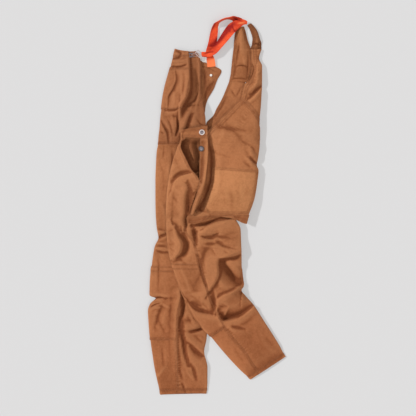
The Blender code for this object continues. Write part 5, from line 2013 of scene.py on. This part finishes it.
@dataclass
class Back:
    """The yoke, the back with its patch pocket, and the seat, which lie over the left leg's top."""

    sewing: Sewing
    mound: Mound
    thread: Stitching = field(default_factory=lambda: Stitching("back_stitching"))

    def build(self) -> None:
        """Sews every panel of the back."""
        row, seam, last = self.mound.row, self.mound.seam, self.mound.last
        yoke = Panel(Cut("yoke_cloth", ("back_yoke",), ON_LEFT), (0, row["yoke seam"]), (0, last),
                     edged(top=PLAIN, front=FACED, bottom=FELLED, back=PLAIN))
        back = Panel(Cut("back_cloth", ("back_panel",), ON_LEFT), (row["yoke seam"], row["seat hem"]), (0, last),
                     edged(top=FELLED, front=FACED, bottom=PLAIN, back=PLAIN))
        pocket = Panel(Cut("back_pocket_cloth", ("back_patch_pocket",), ON_LEFT, DUCK_PATCH),
                       (row["back pocket top"], row["back pocket bottom"]), (seam - FINER, last - 2 * FINER),
                       edged(top=TWIN, front=TWIN, bottom=TWIN, back=TWIN), LAYER)
        band = Panel(Cut("seat_band_cloth", ("seat_band",), ON_LEFT),
                     (row["back pocket bottom"] + 2, row["seat hem"]), (0, last - FINER),
                     edged(top=TURNED, front=TURNED, bottom=TURNED, back=PLAIN), LAYER)
        for panel, spread in (
            (yoke, yoke.spread(self.mound)),
            (back, back.spread(self.mound)),
            (pocket, pocket.spread(self.mound).rounded(POCKET_CORNER)),
            (band, self.lifted(band.spread(self.mound))),
        ):
            panel.sew(spread, self.sewing, self.thread)
        under = Cut("back_under_cloth", ("back_core",), ("left_leg_under_cloth", "floor"), DUCK_INSIDE, "duck_shade")
        under_cloth(under, self.mound, (1, row["seat hem"] - BACK_UNDER_SHORT), self.sewing)
        self.thread.build(self.sewing)

    @staticmethod
    def lifted(spread: Spread) -> Spread:
        """Lets the seat band's loose end stand up and out.

        Args:
            spread: The band's net.

        Returns:
            The same net, changed.
        """
        free = np.clip((BAND_FREE - spread.points[..., 0]) / BAND_RUN, 0, 1) ** 1.2
        free = free * np.linspace(0.3, 1, len(free))[:, None]
        spread.points[..., 2] += BAND_LIFT * free
        spread.points[..., 0] -= free * np.linspace(*BAND_OUT, len(free))[:, None]
        return spread


@dataclass
class Straps:
    """The cloth shoulder straps and what shows of the bib's and the armhole's far sides."""

    sewing: Sewing
    strap_thick: float = 2.4
    columns: int = 19
    thread: Stitching = field(default_factory=lambda: Stitching("strap_stitching"))

    def spread(self, table: tuple[Strip, ...], thick: float, seed: int) -> Spread:
        """Lays a strap or facing through its table's rows.

        Args:
            table: The rows.
            thick: Thickness of the strap, in millimetres.
            seed: Which creases it has.

        Returns:
            The net of its outer face.
        """
        table = np.array(table, float)
        rows = smooth_rows(table, [max(3, round(span / ROW_STEP)) for span in spans_of(table[:, :2])])
        share = np.linspace(0, 1, self.columns)
        left, right = rows[:, None, (0, 1, 4)], rows[:, None, (2, 3, 5)]
        points = left + (right - left) * share[None, :, None]
        points[..., 2] += rows[:, 6:7] * np.sin(math.pi * share)
        width = np.linalg.norm(right - left, axis=-1)
        along = totals(spans_of(points[:, self.columns // 2]))
        cloth = np.stack([share * width, np.repeat(along[:, None], self.columns, 1)], -1)
        lift = rumple(cloth[..., 0], cloth[..., 1], seed) + fold_lift(points[..., 0], points[..., 1], STRAP_CREASES)
        lift += pucker(cloth[..., 1], np.minimum(cloth[..., 0], width - cloth[..., 0]), seed + 7)
        points[..., 2] += lift * np.sin(math.pi * share) ** 0.5
        normal = unit(np.cross(np.gradient(points, axis=1), -np.gradient(points, axis=0)))
        # painted highlight where the strap rises and painted shade where it sinks
        bulge = np.clip(lift[..., None] * (0.5, -0.5), 0, 1)
        return Spread(points + normal * thick, normal, cloth, bulge)

    def build(self) -> None:
        """Sews both straps and both far halves."""
        rim = edged(front=TWIN, back=TWIN, top=PLAIN, bottom=PLAIN)
        for node, table, thick, look, slot, seed in (
            ("near_strap", NEAR_STRAP, self.strap_thick, DUCK, "duck", 91),
            # the far strap takes the darker copy of the duck as painted shade
            ("far_strap", FAR_STRAP, self.strap_thick, DUCK_SHADED, "duck_shade", 101),
            ("bib_far_half", BIB_FAR_HALF, CLOTH, DUCK_INSIDE, "duck_shade", 111),
            ("side_far_half", SIDE_FAR_HALF, CLOTH, DUCK_INSIDE, "duck_shade", 121),
        ):
            spread = self.spread(table, thick, seed).rimmed().doubled(rim)
            self.thread.follow(spread, rim)
            self.sewing.sheet(Cut(node + "_cloth", (node,), ON_FLOOR, look, slot, thick), spread)
        self.thread.build(self.sewing)


@dataclass
class Webbing:
    """The orange webbing between the hook and the cloth straps."""

    sewing: Sewing
    thick: float = 1.8
    columns: int = 15
    step: float = 2.5
    fade_start: float = 38.0  # how far along the loose end starts to fade
    fade_run: float = 14.0

    def build(self) -> None:
        """Lays each run of webbing."""
        for node, stations, fade in (
            ("webbing_loop", WEBBING_LOOP, 0.0),
            ("webbing_cross", WEBBING_CROSS, 0.0),
            ("webbing_end", WEBBING_END, 0.6),
        ):
            spread = self.spread(stations)
            faded = np.clip((spread.cloth[..., 1] - self.fade_start) / self.fade_run, 0, fade)
            spread.wear_and_painted_light[..., 0] = np.maximum(spread.wear_and_painted_light[..., 0], faded)
            cut = Cut(node + "_woven", (node,), ("near_strap_cloth",), WEBBING, "webbing", self.thick, 0.0,
                      Hold.FOLDED)
            self.sewing.sheet(cut, spread)

    def spread(self, stations: tuple[Station, ...]) -> Spread:
        """Lays a run of webbing through its stations.

        Args:
            stations: Its stations, from end to end.

        Returns:
            The net along the middle of its wall.
        """
        table = np.array(stations, float)
        rows = smooth_rows(table, [max(3, round(span / self.step)) for span in spans_of(table[:, :3])])
        run = unit(np.gradient(rows[:, :3], axis=0))
        level = unit(np.cross((0, 0, 1), run))
        upward = np.cross(run, level)
        roll = np.radians(rows[:, 4:5])
        over = level * np.cos(roll) + upward * np.sin(roll)
        face = (upward * np.cos(roll) - level * np.sin(roll))[:, None]
        share = np.linspace(-0.5, 0.5, self.columns)
        along = totals(spans_of(rows[:, :3]))
        sag = 0.5 * lattice_noise(along[:, None] / 17 + 0 * share, along[:, None] * 0 + share * 3, 5)
        points = rows[:, None, :3] - over[:, None] * rows[:, 3, None, None] * share[:, None]
        points = points + face * sag[..., None]
        lift = fold_lift(points[..., 0], points[..., 1], WEBBING_CREASES)[..., None]
        cloth = np.stack([-share * rows[:, 3:4], np.repeat(along[:, None], self.columns, 1)], -1)
        normal = np.repeat(face, self.columns, axis=1)
        # painted highlight on the webbing's ridges and painted shade in its troughs
        return Spread(points + face * lift * 0.5, normal, cloth, np.clip(lift * (0.4, -0.4), 0, 1))


UPRIGHT = 0.9  # a face whose normal rises by more than this is an end face
BUTTON_FACE = ((2.4, 0.5), (0.8, -1.5), (3.4, 0.5), (1.2, 0.7), (1.8, 0.1))
BUTTON_BACK = ((2.4, 0.6), (5.0, 0.0))
STUD_FACE = ((1.1, 0.5), (1.9, 0.25), (0.8, -0.4))


def node_frame(node: str, ahead: Vector) -> Matrix:
    """The place of a flat CAD node, worked out from its mesh.

    Args:
        node: The node's name.
        ahead: The way that its X axis should roughly point.

    Returns:
        A matrix whose origin is the node's middle and whose Z axis is its thinnest way, upwards.
    """
    points = np.array([v.co[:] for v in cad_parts[node].data.vertices])
    centre = (points.min(0) + points.max(0)) / 2
    thin = Vector(np.linalg.svd(points - points.mean(0), full_matrices=False)[2][2])
    thin = thin if thin.z > 0 else -thin
    along = (ahead - thin * ahead.dot(thin)).normalized()
    turn = Matrix((along, thin.cross(along), thin)).transposed()
    return Matrix.Translation(Vector(centre)) @ turn.to_4x4()


def pick_faces(piece: bpy.types.Object, wanted: Callable[[bpy.types.MeshPolygon], bool]) -> None:
    """Leaves a piece in edit mode with some of its faces selected.

    Args:
        piece: The piece.
        wanted: Whether a face is to be selected.
    """
    bpy.ops.object.mode_set(mode="OBJECT")
    for part in (piece.data.vertices, piece.data.edges, piece.data.polygons):
        part.foreach_set("select", np.zeros(len(part), bool))
    for face in piece.data.polygons:
        face.select = bool(wanted(face))
    bpy.context.tool_settings.mesh_select_mode = (False, False, True)
    bpy.ops.object.mode_set(mode="EDIT")


def stepped(piece: bpy.types.Object, way: int, steps: tuple[tuple[float, float], ...]) -> None:
    """Works steps into an end of a disc, each inside the last, and leaves the piece in edit mode.

    Args:
        piece: The disc.
        way: 1 for the upper end, -1 for the lower one.
        steps: How far in each step goes and how far it rises, in millimetres.
    """
    pick_faces(piece, lambda face: face.normal.z * way > UPRIGHT)
    for inward, rise in steps:
        bpy.ops.mesh.inset(thickness=inward * MM, depth=rise * MM)


def soften(piece: bpy.types.Object, width: float, segments: int, angle: float) -> None:
    """Rounds the edges of a piece.

    Args:
        piece: The piece.
        width: How wide the rounding is, in millimetres.
        segments: How many faces make it up.
        angle: Edges sharper than this are rounded, in degrees.
    """
    apply_modifier(piece, "BEVEL", width=width * MM, segments=segments, limit_method="ANGLE",
                   angle_limit=math.radians(angle))


@dataclass
class Metal:
    """A piece of hardware that lies where a CAD node lies."""

    name: str
    node: str
    slot: str
    look: MetalFinish

    def build(self, sewing: Sewing) -> None:
        """Models the piece and hands it over."""
        raise NotImplementedError

    def set_down(self, sewing: Sewing, piece: bpy.types.Object, place: Matrix, angle: float) -> None:
        """Moves the finished piece to its place and hands it over.

        Args:
            sewing: Takes the piece.
            piece: The piece, modelled round the origin.
            place: Where it goes.
            angle: Edges sharper than this stay sharp, in degrees.
        """
        piece.matrix_world = place
        settle(piece)
        bpy.ops.object.shade_smooth_by_angle(angle=math.radians(angle))
        sewing.hand_over(piece, self.slot, (self.node,))


@dataclass
class Button(Metal):
    """A shank button: a rolled rim round a sunk face with a ring of beads."""

    face: MetalFinish
    tilt: float = 0.0  # degrees
    radius: float = 10.9
    tall: float = 3.4
    shank: float = 1.6
    beads: int = 14
    bead: float = 0.75  # a bead's radius
    bead_ring: float = 5.4
    bead_height: float = 0.9
    face_radius: float = 7.0
    face_height: float = 0.3

    def build(self, sewing: Sewing) -> None:
        """Models the button.

        Args:
            sewing: Takes the finished button.
        """
        deselect()
        bpy.ops.mesh.primitive_cylinder_add(vertices=48, radius=self.radius * MM, depth=self.tall * MM)
        piece = started(self.name)
        stepped(piece, 1, BUTTON_FACE)
        stepped(piece, -1, BUTTON_BACK)
        bpy.ops.mesh.extrude_region_move(TRANSFORM_OT_translate={"value": (0, 0, -self.shank * MM)})
        bpy.ops.object.mode_set(mode="OBJECT")
        soften(piece, 0.35, 2, 35)
        self.add_beads(piece)
        piece.data.materials.append(sewing.finish(self.look))
        piece.data.materials.append(sewing.finish(self.face))
        for face in piece.data.polygons:
            inner = math.hypot(face.center.x, face.center.y) < self.face_radius * MM
            face.material_index = int(inner and face.center.z > self.face_height * MM)
        tilt = math.radians(self.tilt)
        rise = Matrix.Translation((0, 0, (0.4 + self.radius * math.sin(tilt)) * MM))
        place = node_frame(self.node, Vector((1, 0.3, 0))) @ rise @ Matrix.Rotation(tilt, 4, "Y")
        self.set_down(sewing, piece, place, 40)

    def add_beads(self, piece: bpy.types.Object) -> None:
        """Joins a ring of beads to the button's face.

        Args:
            piece: The button.
        """
        beads = []
        for k in range(self.beads):
            angle = 2 * math.pi * k / self.beads
            spot = self.bead_ring * MM * math.cos(angle), self.bead_ring * MM * math.sin(angle), self.bead_height * MM
            deselect()
            bpy.ops.mesh.primitive_uv_sphere_add(segments=8, ring_count=5, radius=self.bead * MM, location=spot)
            beads.append(bpy.context.active_object)
            settle(beads[-1])
        take(piece)
        for bead in beads:
            bead.select_set(True)
        bpy.ops.object.join()


@dataclass
class Stud(Metal):
    """A domed stud, which lies flat."""

    radius: float = 5.0
    tall: float = 1.6

    def build(self, sewing: Sewing) -> None:
        """Models the stud.

        Args:
            sewing: Takes the finished stud.
        """
        deselect()
        bpy.ops.mesh.primitive_cylinder_add(vertices=32, radius=self.radius * MM, depth=self.tall * MM)
        piece = started(self.name)
        stepped(piece, 1, STUD_FACE)
        bpy.ops.object.mode_set(mode="OBJECT")
        soften(piece, 0.25, 2, 30)
        piece.data.materials.append(sewing.finish(self.look))
        low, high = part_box(self.node)
        self.set_down(sewing, piece, Matrix.Translation((Vector(low) + Vector(high)) / 2), 40)


class Hole(NamedTuple):
    """A hole stamped in a plate: its middle and its half sizes."""

    x: float
    y: float
    half_x: float
    half_y: float

    def under(self, face: bpy.types.MeshPolygon) -> bool:
        """Whether a face lies over the hole."""
        at = face.center / MM
        inside = abs(at.x - self.x) < self.half_x and abs(at.y - self.y) < self.half_y
        return inside and abs(face.normal.z) > UPRIGHT


@dataclass
class Plate(Metal):
    """A stamped plate with rounded corners, a rolled border and holes."""

    long: float
    wide: float
    thick: float
    holes: tuple[Hole, ...]
    ahead: tuple[float, float, float]
    corner: float = 4.0

    def build(self, sewing: Sewing) -> None:
        """Models the plate.

        Args:
            sewing: Takes the finished plate.
        """
        deselect()
        bpy.ops.mesh.primitive_cube_add(size=1.0, scale=(self.long * MM, self.wide * MM, self.thick * MM))
        piece = started(self.name)
        settle(piece)
        self.punch(piece)
        weights = piece.data.attributes.new("bevel_weight_edge", "FLOAT", "EDGE")
        for edge in piece.data.edges:
            weights.data[edge.index].value = float(self.is_corner(piece, edge))
        apply_modifier(piece, "BEVEL", width=self.corner * MM, segments=4, limit_method="WEIGHT")
        soften(piece, 0.45, 3, 50)
        piece.data.materials.append(sewing.finish(self.look))
        self.set_down(sewing, piece, node_frame(self.node, Vector(self.ahead)), 35)

    def punch(self, piece: bpy.types.Object) -> None:
        """Divides the plate along the edges of its holes and opens them.

        Args:
            piece: The plate.
        """
        bpy.ops.object.mode_set(mode="EDIT")
        for middle, half, way in (("x", "half_x", (1, 0, 0)), ("y", "half_y", (0, 1, 0))):
            cuts = {getattr(hole, middle) + side * getattr(hole, half) for hole in self.holes for side in (-1, 1)}
            for cut in sorted(cuts):
                bpy.ops.mesh.select_all(action="SELECT")
                bpy.ops.mesh.bisect(plane_co=[share * cut * MM for share in way], plane_no=way)
        for hole in self.holes:
            pick_faces(piece, hole.under)
            bpy.ops.mesh.bridge_edge_loops()
        bpy.ops.object.mode_set(mode="OBJECT")

    def is_corner(self, piece: bpy.types.Object, edge: bpy.types.MeshEdge) -> bool:
        """Tells whether an edge stands at one of the plate's outer corners.

        Args:
            piece: The plate.
            edge: The edge.

        Returns:
            Whether it does.
        """
        a, b = (piece.data.vertices[k].co / MM for k in edge.vertices)
        corner = abs(abs(a.x) - self.long / 2) < 0.1 and abs(abs(a.y) - self.wide / 2) < 0.1
        return corner and abs(a.x - b.x) < 0.1 and abs(a.y - b.y) < 0.1


@dataclass
class Ring(Metal):
    """A closed loop of round wire, longer than it is wide."""

    long: float
    wide: float
    wire: float
    ahead: tuple[float, float, float]
    pinch: float = 0.0  # how much narrower its far end is

    def build(self, sewing: Sewing) -> None:
        """Models the ring.

        Args:
            sewing: Takes the finished ring.
        """
        deselect()
        bpy.ops.mesh.primitive_torus_add(major_segments=48, minor_segments=14, major_radius=self.wide / 2 * MM,
                                         minor_radius=self.wire * MM)
        piece = started(self.name)
        spare = (self.long - self.wide) / 2
        for vertex in piece.data.vertices:
            at = vertex.co / MM
            vertex.co.x += math.copysign(spare, at.x) * min(1.0, abs(at.x) / 1.5) * MM
            vertex.co.y *= 1 - self.pinch * (0.5 + at.x / self.long)
        piece.data.materials.append(sewing.finish(self.look))
        self.set_down(sewing, piece, node_frame(self.node, Vector(self.ahead)), 60)


@dataclass
class Hardware:
    """Buttons, stud, hook, link, slider and ring."""

    sewing: Sewing
    metals: tuple[Metal, ...] = (
        Button("upper_shank_button", "upper_button", "button_bright", BRIGHT, TARNISH),
        Button("lower_shank_button", "lower_button", "button_dark", OXIDE, TARNISH, tilt=9.0),
        Stud("far_stud", "far_rivet", "enamel", ENAMEL),
        Plate("bib_hook", "hook", "steel", TARNISH, 24.0, 19.0, 1.6,
              (Hole(-4.0, 0.0, 3.5, 4.5), Hole(7.5, 0.0, 1.5, 6.0)), (1.0, 0.2, 0.0)),
        Plate("strap_slider", "slider", "steel", STEEL, 30.0, 22.0, 2.0,
              (Hole(0.0, 4.6, 11.0, 2.5), Hole(0.0, -4.6, 11.0, 2.5)), (0.743, -0.669, 0.0)),
        Ring("hook_wire_link", "hook_link", "steel", COPPER, 22.0, 12.0, 1.3, (1.0, -0.07, 0.0)),
        Ring("strap_wire_ring", "strap_ring", "enamel", ENAMEL, 26.0, 20.0, 1.7, (0.17, -0.98, 0.0), pinch=0.25),
    )

    def build(self) -> None:
        """Models each piece of metal."""
        for metal in self.metals:
            metal.build(self.sewing)


class Lamp(NamedTuple):
    """A far lamp."""

    name: str
    towards: tuple[float, float, float]
    soft: float  # how wide it looks, in degrees
    power: float
    colour: Colour


@dataclass
class Studio:
    """The pale floor, the lights and the camera above the garment."""

    sewing: Sewing
    view: float = 1.664  # what the camera takes in, in metres
    lens: float = 85.0
    middle: tuple[float, float] = (-0.036, -0.008)
    sky_colour: Colour = (1.0, 0.945, 0.895)
    sky_power: float = 0.48
    lamps: tuple[Lamp, ...] = (
        Lamp("key", (-0.749, 0.243, 0.616), 2.0, 2.45, (1.0, 0.965, 0.925)),
        Lamp("fill", (0.4, -0.3, 0.87), 60.0, 0.95, (1.0, 0.88, 0.78)),
    )

    def build(self) -> None:
        """Sets the floor, the lights, the sky and the camera."""
        deselect()
        bpy.ops.mesh.primitive_grid_add(x_subdivisions=8, y_subdivisions=8, size=12.0, location=(0, 0, -0.0004))
        floor = started("floor")
        floor.data.materials.append(self.sewing.finish(FLOOR))
        settle(floor)
        for lamp in self.lamps:
            self.hang(lamp)
        world = bpy.data.worlds.new("studio air")
        world.use_nodes = True
        inputs = {"Color": self.sky_colour, "Strength": self.sky_power}
        NodeBoard(world.node_tree).fill(world.node_tree.nodes["Background"], inputs)
        bpy.context.scene.world = world
        bpy.context.scene.view_settings.view_transform = "Standard"
        data = bpy.data.cameras.new("camera")
        data.lens = self.lens
        camera = bpy.data.objects.new("camera", data)
        camera.location = (*self.middle, self.view * self.lens / data.sensor_width)
        bpy.context.scene.collection.objects.link(camera)
        bpy.context.scene.camera = camera

    def hang(self, lamp: Lamp) -> None:
        """Hangs a lamp.

        Args:
            lamp: What it is and where it shines from.
        """
        data = bpy.data.lights.new(lamp.name, "SUN")
        data.angle, data.energy, data.color = math.radians(lamp.soft), lamp.power, lamp.colour
        light = bpy.data.objects.new(lamp.name, data)
        light.rotation_euler = Vector(lamp.towards).to_track_quat("Z", "Y").to_euler()
        bpy.context.scene.collection.objects.link(light)


def main() -> None:
    """Builds the studio and every sub-assembly in order."""
    logging.basicConfig(level=logging.INFO, format="%(name)s: %(message)s")
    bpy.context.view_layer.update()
    sewing = Sewing()
    Studio(sewing).build()
    right = RightSide(sewing)
    right.build()
    left = LeftSide(sewing, right.mound)
    left.build()
    Back(sewing, left.back).build()
    Straps(sewing).build()
    Webbing(sewing).build()
    Hardware(sewing).build()


if __name__ == "__main__":
    main()
